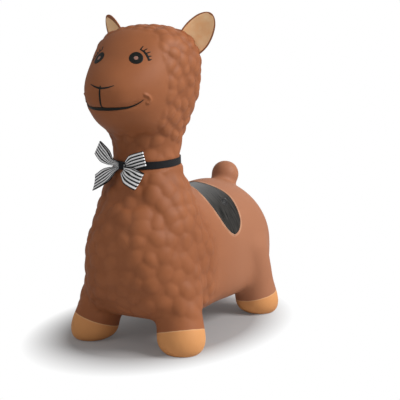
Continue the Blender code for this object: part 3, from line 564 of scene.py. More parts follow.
def add_head(form):
    height = HEAD_TOP_Z - HEAD_BOTTOM_Z
    length = HEAD_FRONT_Y - HEAD_REAR_Y
    rings = []
    for up, wide, *shares in smooth_table(HEAD_STATION_SHARES, LOFT_STEPS):
        front, middle, rear = (HEAD_REAR_Y + share * length for share in shares)
        z = HEAD_BOTTOM_Z + up * height
        half = wide * HEAD_HALF_WIDTH
        ring = oval_points(half, middle, front, rear, HEAD_POWERS, EGG_COUNT)
        rings.append([(x, y, z) for x, y in ring])
    add_loft(form, rings)


def leg_axis(side, front):
    """Unit vector up the leg, which splays out and away from the middle."""
    splay = FRONT_SPLAY if front else REAR_SPLAY
    away = -1 if front else 1
    out = Vector((side * math.sin(SPLAY_TURN), away * math.cos(SPLAY_TURN), 0))
    return (UP * math.cos(splay) - out * math.sin(splay)).normalized()


def sole_centre(side, front):
    """Where the leg's axis meets the sole."""
    y = FRONT_HOOF_Y if front else REAR_HOOF_Y
    return Vector((side * HOOF_SPREAD, y, -HOOF_SINK))


def add_leg(form, side, front):
    axis = leg_axis(side, front)
    foot = sole_centre(side, front)
    rings = []
    for up, wide, tilt in smooth_table(LEG_STATION_SHARES, LEG_STEPS):
        turn = UP.rotation_difference(UP.lerp(axis, tilt)).to_matrix()
        across, along = turn @ Vector((1, 0, 0)), turn @ Vector((0, 1, 0))
        radius = wide * HOOF_RADIUS
        rings.append(ring_points(foot + axis * up * LEG_HEIGHT, radius, radius, across, along))
    add_loft(form, rings)


def add_tail(form):
    top = Vector((0, TAIL_Y, TAIL_Z))
    ball = Matrix.Translation(top) @ Matrix.Scale(TAIL_RADIUS, 4)
    half = RING_COUNT // 2
    bmesh.ops.create_uvsphere(form, u_segments=RING_COUNT, v_segments=half, radius=1, matrix=ball)
    foot = top - TAIL_RADIUS * Vector((0, *TAIL_FOOT_SHARES))
    stem = TAIL_STEM_RADIUS
    add_loft(form, [ring_points(spot, stem, stem) for spot in (foot, top)])


def remeshed(mesh, voxel, rounds):
    """The mesh as one skin of even faces, smoothed so many times."""
    item = link("remeshed", mesh)
    add_modifier(item, "REMESH", mode="VOXEL", voxel_size=voxel)
    add_modifier(item, "SMOOTH", factor=SMOOTH_FACTOR, iterations=rounds)
    return baked(item)


def body_form():
    """The smooth form under the fleece."""
    form = bmesh.new()
    add_torso(form)
    add_neck(form)
    add_head(form)
    for leg in LEGS:
        add_leg(form, *leg)
    add_tail(form)
    return remeshed(mesh_of(form, "body_form"), FORM_VOXEL, SMOOTH_ROUNDS)


def vertex_arrays(mesh):
    """Positions and normals of the mesh's vertices."""
    arrays = np.empty((2, len(mesh.vertices) * 3))
    for row, name in zip(arrays, ("co", "normal")):
        mesh.vertices.foreach_get(name, row)
    return arrays.reshape(2, -1, 3)


def bump_spacing(points):
    """Closer bumps on the head than on the body."""
    share = smooth_step(points[:, 2], HEAD_FLEECE_Z, HEAD_FLEECE_Z + HEAD_BUMP_SPACING)
    return BODY_BUMP_SPACING + (HEAD_BUMP_SPACING - BODY_BUMP_SPACING) * share


def fleece_seeds(points):
    """Scattered points of the form, none closer than the bump spacing."""
    rng = np.random.default_rng(FLEECE_SEED)
    order = rng.permutation(len(points))
    spacing = bump_spacing(points)
    kept = np.empty((0, 3))
    for i in order:
        if len(kept) and ((kept - points[i]) ** 2).sum(axis=1).min() < spacing[i] ** 2:
            continue
        kept = np.vstack((kept, points[i]))
    spread = 1 + DOME_SPREAD_SHARE * rng.uniform(-1, 1, len(kept))
    radii = bump_spacing(kept) * DOME_SHARE * spread
    talls = 1 - DOME_TALL_SHARE * rng.uniform(0, 1, len(kept))
    return kept, radii, talls


def fleece_share(points):
    """Share of the fleece's height at each point: 1 in the wool, 0 on smooth skin."""
    _, y, z = points.T
    edge = FACE_EDGE_Y + CROWN_SLOPE * np.maximum(z - CROWN_Z, 0)
    face = 1 - smooth_step(y, edge, edge + FLEECE_FADE)
    face = face * smooth_step(z, CHIN_EDGE_Z - FLEECE_FADE, CHIN_EDGE_Z)
    flank = smooth_step(y, FLANK_EDGE_Y - FLANK_FADE, FLANK_EDGE_Y + FLANK_FADE)
    flank = flank * (1 - smooth_step(z, BACK_Z, BACK_Z + FLANK_FADE))
    shin = smooth_step(z, SHIN_EDGE_Z - FLEECE_FADE, SHIN_EDGE_Z + FLEECE_FADE)
    rump = RUMP_SHARE * smooth_step(y, RUMP_EDGE_Y, RUMP_EDGE_Y + FLANK_FADE) * flank
    tail = smooth_step(z, TAIL_Z - TAIL_RADIUS, TAIL_Z) * smooth_step(y, 0, TAIL_Y - TAIL_RADIUS)
    return np.maximum((1 - face) * (1 - flank) * shin * (1 - tail), rump * (1 - tail) * shin)


def dome_shares(points, domes):
    """The tallest dome's height at each point, as a share of the fleece's."""
    seeds, radii, talls = domes
    tree = KDTree(len(seeds))
    for i, seed in enumerate(seeds):
        tree.insert(seed, i)
    tree.balance()
    shares = np.empty(len(points))
    for i, point in enumerate(points):
        near = tree.find_n(point, NEAREST_DOMES)
        shares[i] = max(talls[k] * (1 - (away / radii[k]) ** 2) for _, k, away in near)
    return np.maximum(shares, 0)


def face_relief(points):
    """Height of the mouth's crease, and of the crescent folds at its corners."""
    x, y, z = points.T
    x = np.abs(x)
    front = 1 - smooth_step(y, SNOUT_Y - CREASE_HALF, SNOUT_Y + CREASE_HALF)
    end = MOUTH[-1][0]
    along = 1 - smooth_step(x, end * CREASE_FADE_SHARE, end)
    off = (z - np.interp(x, *np.array(MOUTH).T)) / CREASE_HALF
    crease = MOUTH_CREASE * np.exp(-(off**2)) * along
    dx, dz = (x - FOLD_CENTRE[0]) / FOLD_NARROW_SHARE, z - FOLD_CENTRE[1]
    ring = (np.hypot(dx, dz) - FOLD_RADIUS) / FOLD_HALF
    turn = np.arctan2(dz, dx)
    low, high = FOLD_TURNS
    arc = smooth_step(turn, low - FOLD_FADE, low) * (1 - smooth_step(turn, high, high + FOLD_FADE))
    return (FOLD_HEIGHT * np.exp(-(ring**2)) * arc - crease) * front


def refine_mouth(mesh):
    """Cuts the faces finer round the corners of the mouth."""
    form = bmesh.new()
    form.from_mesh(mesh)
    edges = set()
    for face in form.faces:
        x, y, z = face.calc_center_median()
        if y < SNOUT_Y and math.dist((abs(x), z), FOLD_CENTRE) < FOLD_REACH:
            edges.update(face.edges)
    bmesh.ops.subdivide_edges(form, edges=list(edges), cuts=FOLD_STEPS, use_grid_fill=True)
    form.to_mesh(mesh)
    form.free()


def saddle_outline():
    """The saddle's closed outline as rows of (y, signed turn in radians)."""
    left = [(y, math.radians(turn)) for y, turn in SADDLE_LEFT]
    right = [(y, -turn) for y, turn in reversed(left) if turn > 0]
    rows = left + right
    return [tuple(row) for row in smooth_table(rows + rows[:1], SADDLE_STEPS)[:-1]]


def band_frame():
    """At the band's centre, Z along the neck and -Y to its front."""
    place = Matrix.Translation((0, NECK_Y, BAND_Z))
    return place @ Matrix.Rotation(BAND_TILT, 4, "X")


def within_band(points):
    """The points, with those behind the band drawn in to its seat."""
    place = np.array(band_frame())
    turn, centre = place[:3, :3], place[:3, 3]
    local = (points - centre) @ turn
    away = np.hypot(local[:, 0], local[:, 1])
    past = np.abs(local[:, 2]) - BAND_WIDTH / 2 - BAND_SIDE_GAP
    limit = BAND_SEAT_RADIUS + np.maximum(past, 0) * GROOVE_SLOPE
    held = (past < GROOVE_SHOULDER) & (away > limit) & (away < GROOVE_REACH)
    local[:, :2] *= np.where(held, limit / np.maximum(away, WELD_DISTANCE), 1)[:, None]
    return local @ turn.T + centre


def bow_place():
    """The bow's place: -Y outwards, Z up, origin on the band behind the knot."""
    out = BAND_SEAT_RADIUS + BAND_THICKNESS + 2 * FIT_GAP
    turn = Matrix.Rotation(BOW_TURN, 4, "Z")
    return band_frame() @ (turn @ Matrix.Translation((0, -out, 0)))


def ribbon_centre(side, along, lobes):
    """A ribbon's middle line, from the knot to a lobe's fold at along = 1."""
    x, z = lobes[side > 0]
    start = side * PINCH_REACH
    climb = along * (1 + LOBE_ARCH * (1 - along))
    return Vector((start + (x - start) * along, 0, z * climb))


def ribbon_across(side, along, lobes):
    """The way across the ribbon, upright in the knot."""
    if along == 0:
        return UP
    ahead = ribbon_centre(side, along + WAY_STEP_SHARE, lobes)
    behind = ribbon_centre(side, along - WAY_STEP_SHARE, lobes)
    way = side * (ahead - behind)
    return Vector((0, -1, 0)).cross(way.normalized())


def ribbon_point(place, share, lobes, lift):
    """A ribbon's point, from its place on the loop and share across, -1 to 1."""
    side, along, rise = place
    opened = smooth_step(along, 0, FAN_SHARE)
    half = (RIBBON_PINCH + (RIBBON_WIDTH - RIBBON_PINCH) * opened) / 2
    across = ribbon_across(side, along, lobes)
    point = ribbon_centre(side, along, lobes) + across * share * half
    pleat = PLEAT_DEPTH * math.cos(PLEAT_TURNS * math.pi * share) * opened * (1 - along)
    bend = min(point.z, 0) ** 2 / (2 * CHEST_BEND_RADIUS)
    bend += WOOL_STEP * smooth_step(-point.z, *WOOL_STEP_SPAN)
    past = point.length - math.hypot(PINCH_REACH, RIBBON_PINCH / 2)
    lifted = lift * smooth_step(past, 0, LIFT_REACH)
    return point - Vector((0, rise + pleat + bend + lifted, 0))


def ribbon_path():
    """Places (side, along, rise) round the loop, in front and back behind."""
    outwards = [(1, along) for along in np.linspace(0, 1, LOBE_STEPS) ** ROW_POWER]
    inwards = [(-1, along) for _, along in reversed(outwards)]
    ahead = []
    for side, along in (*inwards, (0, 0), *outwards):
        fold = (2 * RIBBON_FOLD_RADIUS - LAYER_STEP) * along
        swell = LOBE_BULGE * math.sin(math.pi * along**BULGE_POWER)
        ahead.append((side, along, LAYER_STEP + fold + swell))
    behind = [(side, along, 0) for side, along, _ in reversed(ahead)]
    return ahead + behind


def hoof_depth(points):
    """How far each point is inside a hoof's paint, in metres."""
    best = np.full(len(points), -1.0)
    for leg in LEGS:
        away = points - np.array(sole_centre(*leg))
        depth = HOOF_PAINT_HEIGHT - away @ np.array(leg_axis(*leg))
        near = 2 * HOOF_RADIUS - np.linalg.norm(away, axis=1)
        best = np.maximum(best, np.minimum(depth, near))
    return best


def saddle_places(points):
    """Places on the torso's upper side, as metres along it and round it."""
    x, y, z = points.T
    return np.stack((y, np.arctan2(x, z - TORSO_AXIS_Z) * SADDLE_ROUND), axis=1)


def saddle_depth(points):
    """How far each point is inside the saddle's outline, in metres."""
    outline = np.array(saddle_outline()) * (1, SADDLE_ROUND)
    places = saddle_places(points)
    nearest = np.full(len(points), 1.0)
    crossings = np.zeros(len(points), int)
    for start, end in zip(outline, np.roll(outline, -1, axis=0)):
        span = end - start
        share = np.clip((places - start) @ span / (span @ span), 0, 1)
        gap = np.linalg.norm(places - start - share[:, None] * span, axis=1)
        nearest = np.minimum(nearest, gap)
        astride = (start[1] > places[:, 1]) != (end[1] > places[:, 1])
        rise = np.where(astride, places[:, 1] - start[1], 0) / (span[1] or 1)
        crossings += astride & (places[:, 0] < start[0] + rise * span[0])
    inside = (crossings % 2 == 1) & (points[:, 2] > TORSO_AXIS_Z)
    return np.where(inside, nearest, -nearest)


def store(mesh, name, values):
    """Keeps a value for each point, or one for all, for the materials."""
    layer = mesh.attributes.new(name, "FLOAT", "POINT")
    layer.data.foreach_set("value", np.full(len(mesh.vertices), values, np.float32))


def soft(mesh, values, rounds, share=1.0):
    """Evens the values out between neighbours, by a share at each point."""
    ends = np.empty(len(mesh.edges) * 2, np.int32)
    mesh.edges.foreach_get("vertices", ends)
    first, second = ends.reshape(-1, 2).T
    size = len(values)
    near = np.maximum(np.bincount(first, minlength=size) + np.bincount(second, minlength=size), 1)
    for _ in range(rounds):
        total = np.bincount(first, values[second], size) + np.bincount(second, values[first], size)
        values = values + (total / near - values) * share / 2
    return values


def even_hips(mesh):
    """Lets the tops of the hind legs run smoothly into the flanks."""
    points, _ = vertex_arrays(mesh)
    to_left = np.column_stack((np.abs(points[:, 0]), points[:, 1:]))
    away = np.linalg.norm(to_left - HIP, axis=1)
    share = 1 - smooth_step(away, HIP_REACH / 2, HIP_REACH)
    moved = [soft(mesh, points[:, k], HIP_ROUNDS, share) for k in range(3)]
    mesh.vertices.foreach_set("co", np.stack(moved, axis=1).ravel())


def alpaca_skin(form_mesh, material):
    """The whole skin, with fleece, mouth, a channel for the band, and the masks of its paints and
    painted shade.
    """
    domes = fleece_seeds(vertex_arrays(form_mesh)[0])
    mesh = remeshed(form_mesh.copy(), FINE_VOXEL, FINE_SMOOTH_ROUNDS)
    even_hips(mesh)
    refine_mouth(mesh)
    points, normals = vertex_arrays(mesh)
    share = fleece_share(points)
    bent = points + WARP * np.sin(points[:, (1, 2, 0)] * WARP_TURNS + WARP_PHASES)
    tall = dome_shares(bent, domes)
    calm = RELIEF_SMOOTH_SHARE * (1 - smooth_step(points[:, 2], *HEAD_FROM))
    wool = FLEECE_HEIGHT * soft(mesh, tall, RELIEF_SMOOTH_ROUNDS, calm) - FLEECE_SINK
    heights = share * wool + face_relief(points)
    moved = within_band(points + normals * heights[:, None])
    moved[:, 2] = np.maximum(moved[:, 2], 0)
    mesh.vertices.foreach_set("co", moved.ravel())
    # Painted shade in the valleys between the fleece's domes
    store(mesh, "valley_shade", (1 - smooth_step(tall, *VALLEY_SHADE_SPAN)) * share)
    store(mesh, "hoof", hoof_depth(points))
    store(mesh, "saddle", saddle_depth(points))
    store(mesh, "round", saddle_places(points)[:, 1])
    return piece("alpaca_body", mesh, material)


def ear_piece(side, name, material):
    """A leaf-shaped cup, and how far inside its edge each point is."""
    lean = Matrix.Rotation(side * EAR_LEAN, 3, "Y") @ Matrix.Rotation(EAR_FORWARD, 3, "X")
    axis = lean @ UP
    face = Vector((side * math.sin(EAR_TURN), -math.cos(EAR_TURN), 0))
    face = (face - axis * face.dot(axis)).normalized()
    base = Vector((side * EAR_BASE[0], *EAR_BASE[1:]))
    across = axis.cross(face)
    inwards = 1 if across[0] > 0 else -1
    steps = np.linspace(-1, 1, EAR_COLUMNS)
    rings = []
    depths = []
    for along, wide, deep in smooth_table(EAR_STATION_SHARES, EAR_STEPS):
        wide = max(wide, EAR_TIP_SHARE)
        centre = base + axis * along * EAR_LENGTH
        back = []
        inside = []
        for step in steps:
            thick = EAR_THICKNESS * (1 - (1 - EAR_EDGE_SHARE) * step**2)
            thick = thick * min(1, EAR_EDGE_SHARE + wide)
            rise = deep * EAR_CUP * (1 - step**2)
            middle = centre + across * step * wide * EAR_WIDTH / 2 - face * rise
            back.append(middle - face * thick / 2)
            inside.append(middle + face * thick / 2)
            depths.append(-EAR_EDGE)
        for step in reversed(steps):
            edge = (1 - abs(step)) * wide * EAR_WIDTH / 2
            if side < 0:
                edge -= FAR_EAR_BACK * max(step * inwards + FAR_EAR_FROM, 0)
            depths.append(min(edge, (1 - along) * EAR_LENGTH) - EAR_EDGE)
        rings.append(back + inside[::-1])
    form = bmesh.new()
    add_loft(form, rings)
    mesh = mesh_of(form, name)
    store(mesh, "inner", depths)
    store(mesh, "hoof", UNPAINTED)
    store(mesh, "saddle", UNPAINTED)
    item = piece(name, mesh, material)
    add_modifier(item, "SMOOTH", factor=SMOOTH_FACTOR, iterations=EAR_SMOOTH_ROUNDS)
    return item


def rim_piece(tree, material):
    """The thin raised bead along the saddle's outline."""
    data = bpy.data.curves.new("saddle_rim", "CURVE")
    data.dimensions = "3D"
    data.bevel_depth = RIM_RADIUS
    data.bevel_resolution = RIM_BEVEL_STEPS
    rows = saddle_outline()
    rows = smooth_table(rows + rows[:1], RIM_STEPS)[:-1]
    spline = data.splines.new("POLY")
    spline.points.add(len(rows) - 1)
    for knot, (y, turn) in zip(spline.points, rows):
        way = Vector((math.sin(turn), 0, math.cos(turn)))
        point, normal, _, _ = tree.ray_cast(Vector((0, y, TORSO_AXIS_Z)), way)
        knot.co = (*(point - normal * RIM_SINK), 1)
    spline.use_cyclic_u = True
    mesh = baked(link("saddle_rim_path", data))
    # A depth just outside the outline gives the whole bead the painted highlight colour
    store(mesh, "saddle", -RIM_RADIUS)
    store(mesh, "hoof", UNPAINTED)
    return piece("saddle_rim", mesh, material)


def face_hit(tree, x, z):
    """Point and normal of the face's skin at (x, z), seen from in front."""
    return tree.ray_cast(Vector((x, -1, z)), Vector((0, 1, 0)))[:2]


def solid_ink(name, form, rows, material):
    """A thin coat of ink through rows of vertices on the skin."""
    join_rows(form, rows)
    bmesh.ops.remove_doubles(form, verts=form.verts, dist=WELD_DISTANCE)
    item = piece(name, mesh_of(form, name), material)
    add_modifier(item, "SOLIDIFY", thickness=2 * INK, offset=-1)
    return item


def face_line(name, tree, path, widths, material):
    """A painted line along (x, z) points, with widths from end to end."""
    rows = np.array(smooth_table(path, LINE_STEPS))
    steps = np.hypot(*np.diff(rows, axis=0).T)
    along = np.concatenate(([0], np.cumsum(steps)))
    even = np.linspace(0, along[-1], max(int(along[-1] / LINE_STEP), LINE_LEAST_STEPS))
    line = np.stack([np.interp(even, along, rows[:, k]) for k in (0, 1)], axis=1)
    way = np.gradient(line, axis=0)
    way = way / np.hypot(*way.T)[:, None]
    across = np.stack((-way[:, 1], way[:, 0]), axis=1)
    wide = np.interp(even / even[-1], np.linspace(0, 1, len(widths)), widths)
    form = bmesh.new()
    rows = []
    for centre, side, width in zip(line, across, wide):
        row = []
        for share in np.linspace(-0.5, 0.5, LINE_COLUMNS):
            point, normal = face_hit(tree, *(centre + side * width * share))
            row.append(form.verts.new(point + normal * INK))
        rows.append(row)
    return solid_ink(name, form, rows, material)


def face_disc(name, tree, centre, radii, material):
    """A painted disc or ring, round as seen along the surface's own normal."""
    point, normal = face_hit(tree, *centre)
    turn = UP.rotation_difference(normal).to_matrix()
    form = bmesh.new()
    rings = []
    for radius in np.linspace(*radii, DISC_RINGS):
        ring = []
        for c, s in circle_steps(DISC_COUNT):
            start = point + turn @ Vector((radius * c, radius * s, DISC_REACH))
            hit, facing, _, _ = tree.ray_cast(start, -normal)
            ring.append(form.verts.new(hit + facing * INK))
        rings.append(ring + ring[:1])
    return solid_ink(name, form, rings, material)


def mirrored(points, side, shift):
    return [(side * x + shift, z) for x, z in points]


def painted_face(tree, ink, pupil):
    """Eyes, lashes, nose, lip and mouth, each a thin coat of paint."""
    pieces = []
    for side, word in ((1, "left"), (-1, "right")):
        shift = FAR_EYE_SHIFT if side < 0 else 0
        eye, *arc = mirrored((EYE, *LASH_ARC), side, shift)
        pieces.append(face_disc("eye_ring_" + word, tree, eye, (PUPIL_RADIUS, EYE_RADIUS), ink))
        pieces.append(face_disc("pupil_" + word, tree, eye, (WELD_DISTANCE, PUPIL_RADIUS), pupil))
        pieces.append(face_line("lash_line_" + word, tree, arc, LASH_LINE_WIDTHS, ink))
        for i, ends in enumerate(LASHES):
            root, tip = mirrored(ends, side, shift)
            middle = ((root[0] + tip[0]) / 2, (root[1] + tip[1]) / 2)
            name = f"lash_{word}_{i + 1}"
            pieces.append(face_line(name, tree, (root, middle, tip), LASH_WIDTHS, ink))
    mouth = mirrored(reversed(MOUTH[1:]), -1, 0) + list(MOUTH)
    pieces.append(face_line("mouth", tree, mouth, MOUTH_WIDTHS, ink))
    pieces.append(face_line("nose", tree, NOSE, NOSE_WIDTHS, ink))
    pieces.append(face_line("lip", tree, LIP, LIP_WIDTHS, ink))
    return pieces


def cloth_strip(name, place, grid, thickness):
    """A closed loop of cloth through rows of points, with their places on it."""
    grid = [[place @ point for point in row] for row in grid]
    middles = np.array([row[len(row) // 2] for row in grid])
    steps = np.linalg.norm(np.diff(middles, axis=0), axis=1)
    runs = np.concatenate(([0], np.cumsum(steps)))
    form = bmesh.new()
    wide = form.verts.layers.float.new("across")
    long = form.verts.layers.float.new("along")
    rows = []
    for row, run in zip(grid, runs):
        made = [form.verts.new(point) for point in row]
        for vert, share in zip(made, np.linspace(-1, 1, len(made))):
            vert[wide] = share
            vert[long] = run
        rows.append(made)
    join_rows(form, rows + rows[:1])
    item = link(name, mesh_of(form, name))
    add_modifier(item, "SOLIDIFY", thickness=thickness, offset=0)
    apply_modifiers(item)
    item.data.shade_smooth()
    item.data.set_sharp_from_angle(angle=SHARP_ANGLE)
    return item


def cloth_ribbon(name, lobes, level, lift):
    grid = []
    for side, along, rise in ribbon_path():
        place = (side, along, level + rise)
        shares = np.linspace(-1, 1, FINE_COLUMNS)
        grid.append([ribbon_point(place, share, lobes, lift) for share in shares])
    return cloth_strip(name, bow_place(), grid, RIBBON_THICKNESS)


def cloth_knot():
    """The wrap round both ribbons, a little fuller in its middle."""
    layers = 3 * LAYER_STEP + RIBBON_THICKNESS + 4 * FIT_GAP
    depth = (layers + KNOT_THICKNESS) / 2
    grid = []
    for c, s in circle_steps(KNOT_FINE_STEPS):
        y = signed_power(c, KNOT_POWER) * depth + depth + KNOT_THICKNESS / 2
        z = signed_power(s, KNOT_POWER) * KNOT_HEIGHT / 2
        row = []
        for share in np.linspace(-1, 1, KNOT_FINE_COLUMNS):
            fold = KNOT_FOLD * math.cos(KNOT_FOLD_TURNS * math.pi * share) * max(c, 0)
            row.append(Vector((share * KNOT_WIDTH / 2, -y - fold, z)))
        grid.append(row)
    return cloth_strip("bow_knot_cloth", bow_place(), grid, KNOT_THICKNESS)


def cloth_band():
    """The elastic round the neck."""
    shares = np.linspace(-1, 1, BAND_COLUMNS)
    levels = [Vector((0, 0, share * BAND_WIDTH / 2)) for share in shares]
    radius = BAND_SEAT_RADIUS + FIT_GAP + BAND_THICKNESS / 2
    grid = []
    for c, s in circle_steps(BAND_FINE_STEPS):
        grid.append([Vector((c, s, 0)) * radius + level for level in levels])
    return cloth_strip("neck_band_cloth", band_frame(), grid, BAND_THICKNESS)


def feed(socket, value):
    """Links a value to the socket, or sets a plain one there."""
    if isinstance(value, bpy.types.NodeSocket):
        socket.id_data.links.new(value, socket)
    else:
        socket.default_value = (*value, 1) if socket.type == "RGBA" else value


def add_node(tree, kind, *values, **settings):
    """A node with these settings, its inputs fed in order but for a None."""
    made = tree.nodes.new("ShaderNode" + kind)
    for word, value in settings.items():
        setattr(made, word, value)
    for socket, value in zip(made.inputs, values):
        if value is not None:
            feed(socket, value)
    return made


def attribute(tree, name):
    return add_node(tree, "Attribute", attribute_name=name).outputs["Fac"]


def noise(vector, scale, detail=NOISE_DETAIL):
    return add_node(vector.id_data, "TexNoise", vector, None, scale, detail).outputs["Fac"]


def count(operation, *values):
    return add_node(values[0].id_data, "Math", *values, operation=operation).outputs[0]


def spread(value, low, high, start=0.0, end=1.0):
    """Maps low to start and high to end, and holds it outside them."""
    return add_node(value.id_data, "MapRange", value, low, high, start, end).outputs[0]


def from_noise(tone, start=0.0, end=1.0):
    """Spreads a noise's usual range over start to end."""
    return spread(tone, *NOISE_SPAN, start, end)


def blend(share, first, second):
    """A colour between two, which are the mix node's seventh and eighth inputs."""
    values = (share, *[None] * 5, first, second)
    return add_node(share.id_data, "Mix", *values, data_type="RGBA").outputs[2]


def new_material(name):
    """A new material, its node tree, and each point's place on its object."""
    made = bpy.data.materials.new(name)
    made.use_nodes = True
    tree = made.node_tree
    return made, tree, add_node(tree, "TexCoord").outputs["Object"]


def dress(tree, colour, rough, shine, height, relief, sheen=0.0):
    """Feeds the main shader, with bumps of (strength, distance) from the height."""
    bump = add_node(tree, "Bump", *relief)
    feed(bump.inputs["Height"], height)
    inputs = tree.nodes["Principled BSDF"].inputs
    feed(inputs["Base Color"], colour)
    feed(inputs["Roughness"], rough)
    feed(inputs["Normal"], bump.outputs[0])
    feed(inputs["Specular IOR Level"], shine)
    feed(inputs["Sheen Weight"], sheen)


def saddle_streaks(tree, along):
    """Fine lengthwise streaks in the saddle's paint."""
    spots = zip((along, attribute(tree, "round")), STREAK_STRETCH)
    places = [count("MULTIPLY", spot, stretch) for spot, stretch in spots]
    return noise(add_node(tree, "CombineXYZ", *places).outputs[0], 1.0, STREAK_DETAIL)


def skin_material():
    """Soft brown skin with tan hooves and ear insides and a dark saddle; painted shade in the
    fleece's valleys, painted sheen on the rear, painted highlights on the hoof edges and the
    saddle's bead.
    """
    made, tree, where = new_material("alpaca_skin")
    cloud, mottle = noise(where, CLOUD_SCALE), noise(where, MOTTLE_SCALE)
    grain = noise(where, GRAIN_SCALE, GRAIN_DETAIL)
    split = add_node(tree, "SeparateXYZ", where).outputs
    patches = spread(cloud, *CLOUD_SPAN)
    brown = blend(patches, *BROWN)
    brown = blend(from_noise(mottle, 0.0, WARM_SHARE), brown, BROWN_WARM)
    # Paler rear half: a painted sheen of light
    brown = blend(spread(split["Y"], *PALE_SHEEN_SPAN), brown, BROWN_PALE_SHEEN)
    # Painted shade in the fleece's valleys, stronger on the head
    dark = spread(split["Z"], *HEAD_FROM, *VALLEY_SHADE_STRENGTH)
    brown = blend(count("MULTIPLY", attribute(tree, "valley_shade"), dark), brown, BROWN_VALLEY_SHADE)
    wobble = from_noise(mottle, -HOOF_WOBBLE, HOOF_WOBBLE)
    hoof = count("ADD", attribute(tree, "hoof"), wobble)
    tan = blend(patches, *TAN)
    # Painted highlight along the hoof's top edge
    tan = blend(spread(hoof, *HOOF_HIGHLIGHT_LINE), tan, TAN_EDGE_HIGHLIGHT)
    colour = blend(spread(hoof, 0.0, HOOF_EDGE), brown, tan)
    pale = blend(from_noise(mottle), *EAR_TAN)
    colour = blend(spread(attribute(tree, "inner"), 0.0, INNER_EDGE), colour, pale)
    depth = attribute(tree, "saddle")
    # Painted highlight along the saddle's bead, patchy by noise
    rim = count("MULTIPLY", spread(depth, *RIM_HIGHLIGHT_OUTER), spread(depth, *RIM_HIGHLIGHT_INNER))
    rim_highlight_patches = spread(noise(where, RIM_HIGHLIGHT_SCALE), *CLOUD_SPAN, *RIM_HIGHLIGHT_SPAN)
    colour = blend(count("MULTIPLY", rim, rim_highlight_patches), colour, BROWN_RIM_HIGHLIGHT)
    streak = saddle_streaks(tree, split["Y"])
    black = blend(spread(streak, *STREAK_SPAN), *SADDLE_BLACK)
    saddle = spread(depth, 0.0, SADDLE_EDGE)
    colour = blend(saddle, colour, black)
    roughs = (from_noise(grain, *SKIN_ROUGH), from_noise(streak, *SADDLE_ROUGH))
    rough = add_node(tree, "Mix", saddle, None, *roughs).outputs[0]
    fine = count("MULTIPLY_ADD", streak, count("MULTIPLY", saddle, STREAK_RELIEF), grain)
    dress(tree, colour, rough, SKIN_SHINE, fine, SKIN_RELIEF)
    return made


def coat_material(name, deep, light, rough, shine, scales, relief):
    """A smooth coat, a little uneven in tone, with fine bumps."""
    made, tree, where = new_material(name)
    tone, grain = (noise(where, scale) for scale in scales)
    colour = blend(from_noise(tone), deep, light)
    dress(tree, colour, from_noise(tone, *rough), shine, grain, relief)
    return made


def ribbon_material(name, striped):
    """Ribbon with fine cross ribs, and white lengthwise stripes on the bow."""
    made, tree, where = new_material(name)
    share = spread(attribute(tree, "across"), -1.0, 1.0)
    run = attribute(tree, "along")
    ribs = count("SINE", count("MULTIPLY", run, 2 * math.pi / RIB_SPACING))
    threads = count("SINE", count("MULTIPLY", share, math.pi * THREADS))
    tone = noise(where, CLOTH_SCALE)
    raised = spread(ribs, -1.0, 1.0)
    black = blend(raised, *CLOTH_BLACK)
    colour = blend(from_noise(tone, 0.0, CLOTH_WEAR), black, CLOTH_WORN)
    if striped:
        cell = count("DIVIDE", count("SUBTRACT", share, STRIPE_BORDER), STRIPE_PITCH)
        white = count("LESS_THAN", count("FRACT", cell), STRIPE_WHITE_SHARE)
        white = count("MULTIPLY", white, count("GREATER_THAN", cell, 0.0))
        white = count("MULTIPLY", white, count("LESS_THAN", cell, STRIPES_END))
        colour = blend(white, colour, blend(raised, *CLOTH_WHITE))
    weave = count("MULTIPLY_ADD", threads, THREAD_SHARE, ribs)
    rough = from_noise(tone, *CLOTH_ROUGH)
    dress(tree, colour, rough, CLOTH_SHINE, weave, CLOTH_RELIEF, CLOTH_SHEEN)
    return made


def mix_shaders(tree, share, first, second, end):
    """Sends the mix of two shaders to the tree's end."""
    join = add_node(tree, "MixShader", share, first.outputs[0], second.outputs[0])
    feed(tree.nodes[end].inputs["Surface"], join.outputs[0])


def camera_ray(tree):
    return add_node(tree, "LightPath").outputs["Is Camera Ray"]


def add_floor():
    """A pale floor; for the camera only, a darker grey oval round the toy is a painted shadow with
    a faint white glow in it, and beyond it the floor goes to white by distance.
    """
    form = bmesh.new()
    bmesh.ops.create_grid(form, x_segments=2, y_segments=2, size=FLOOR_REACH)
    floor = link("floor", mesh_of(form, "floor"))
    floor.location.z = -FLOOR_DROP
    made, tree, where = new_material("pale_floor")
    ray = camera_ray(tree)
    matte = add_node(tree, "BsdfDiffuse", blend(ray, FLOOR_LIT, FLOOR_SEEN_SHADOW_GREY))
    # The camera sees a darker grey oval round the toy, a painted shadow, fading to white
    oval = add_node(tree, "VectorMath", where, SHADOW_OVAL, SHADOW_OVAL_SHIFT, operation="MULTIPLY_ADD")
    away = add_node(tree, "VectorMath", oval.outputs[0], operation="LENGTH").outputs["Value"]
    far = count("MULTIPLY", spread(away, *SHADOW_OVAL_FADE, *FLOOR_WHITE_GLOW), ray)
    mix_shaders(tree, far, matte, add_node(tree, "Emission"), "Material Output")
    tree.nodes.remove(tree.nodes["Principled BSDF"])
    floor.data.materials.append(made)


def add_world():
    """Soft even light, and plain white behind all for the camera only."""
    world = bpy.data.worlds.new("studio")
    bpy.context.scene.world = world
    world.use_nodes = True
    tree = world.node_tree
    base = tree.nodes["Background"]
    feed(base.inputs["Color"], WHITE_LIGHT)
    feed(base.inputs["Strength"], WORLD_LIGHT)
    seen = add_node(tree, "Background", WHITE_LIGHT, 1.0)
    mix_shaders(tree, camera_ray(tree), base, seen, "World Output")


def aimed(name, data, spot, way):
    """A lamp or camera at a spot, looking along a way."""
    item = link(name, data)
    item.location = spot
    item.rotation_mode = "QUATERNION"
    item.rotation_quaternion = way.to_track_quat("-Z", "Y")
    return item


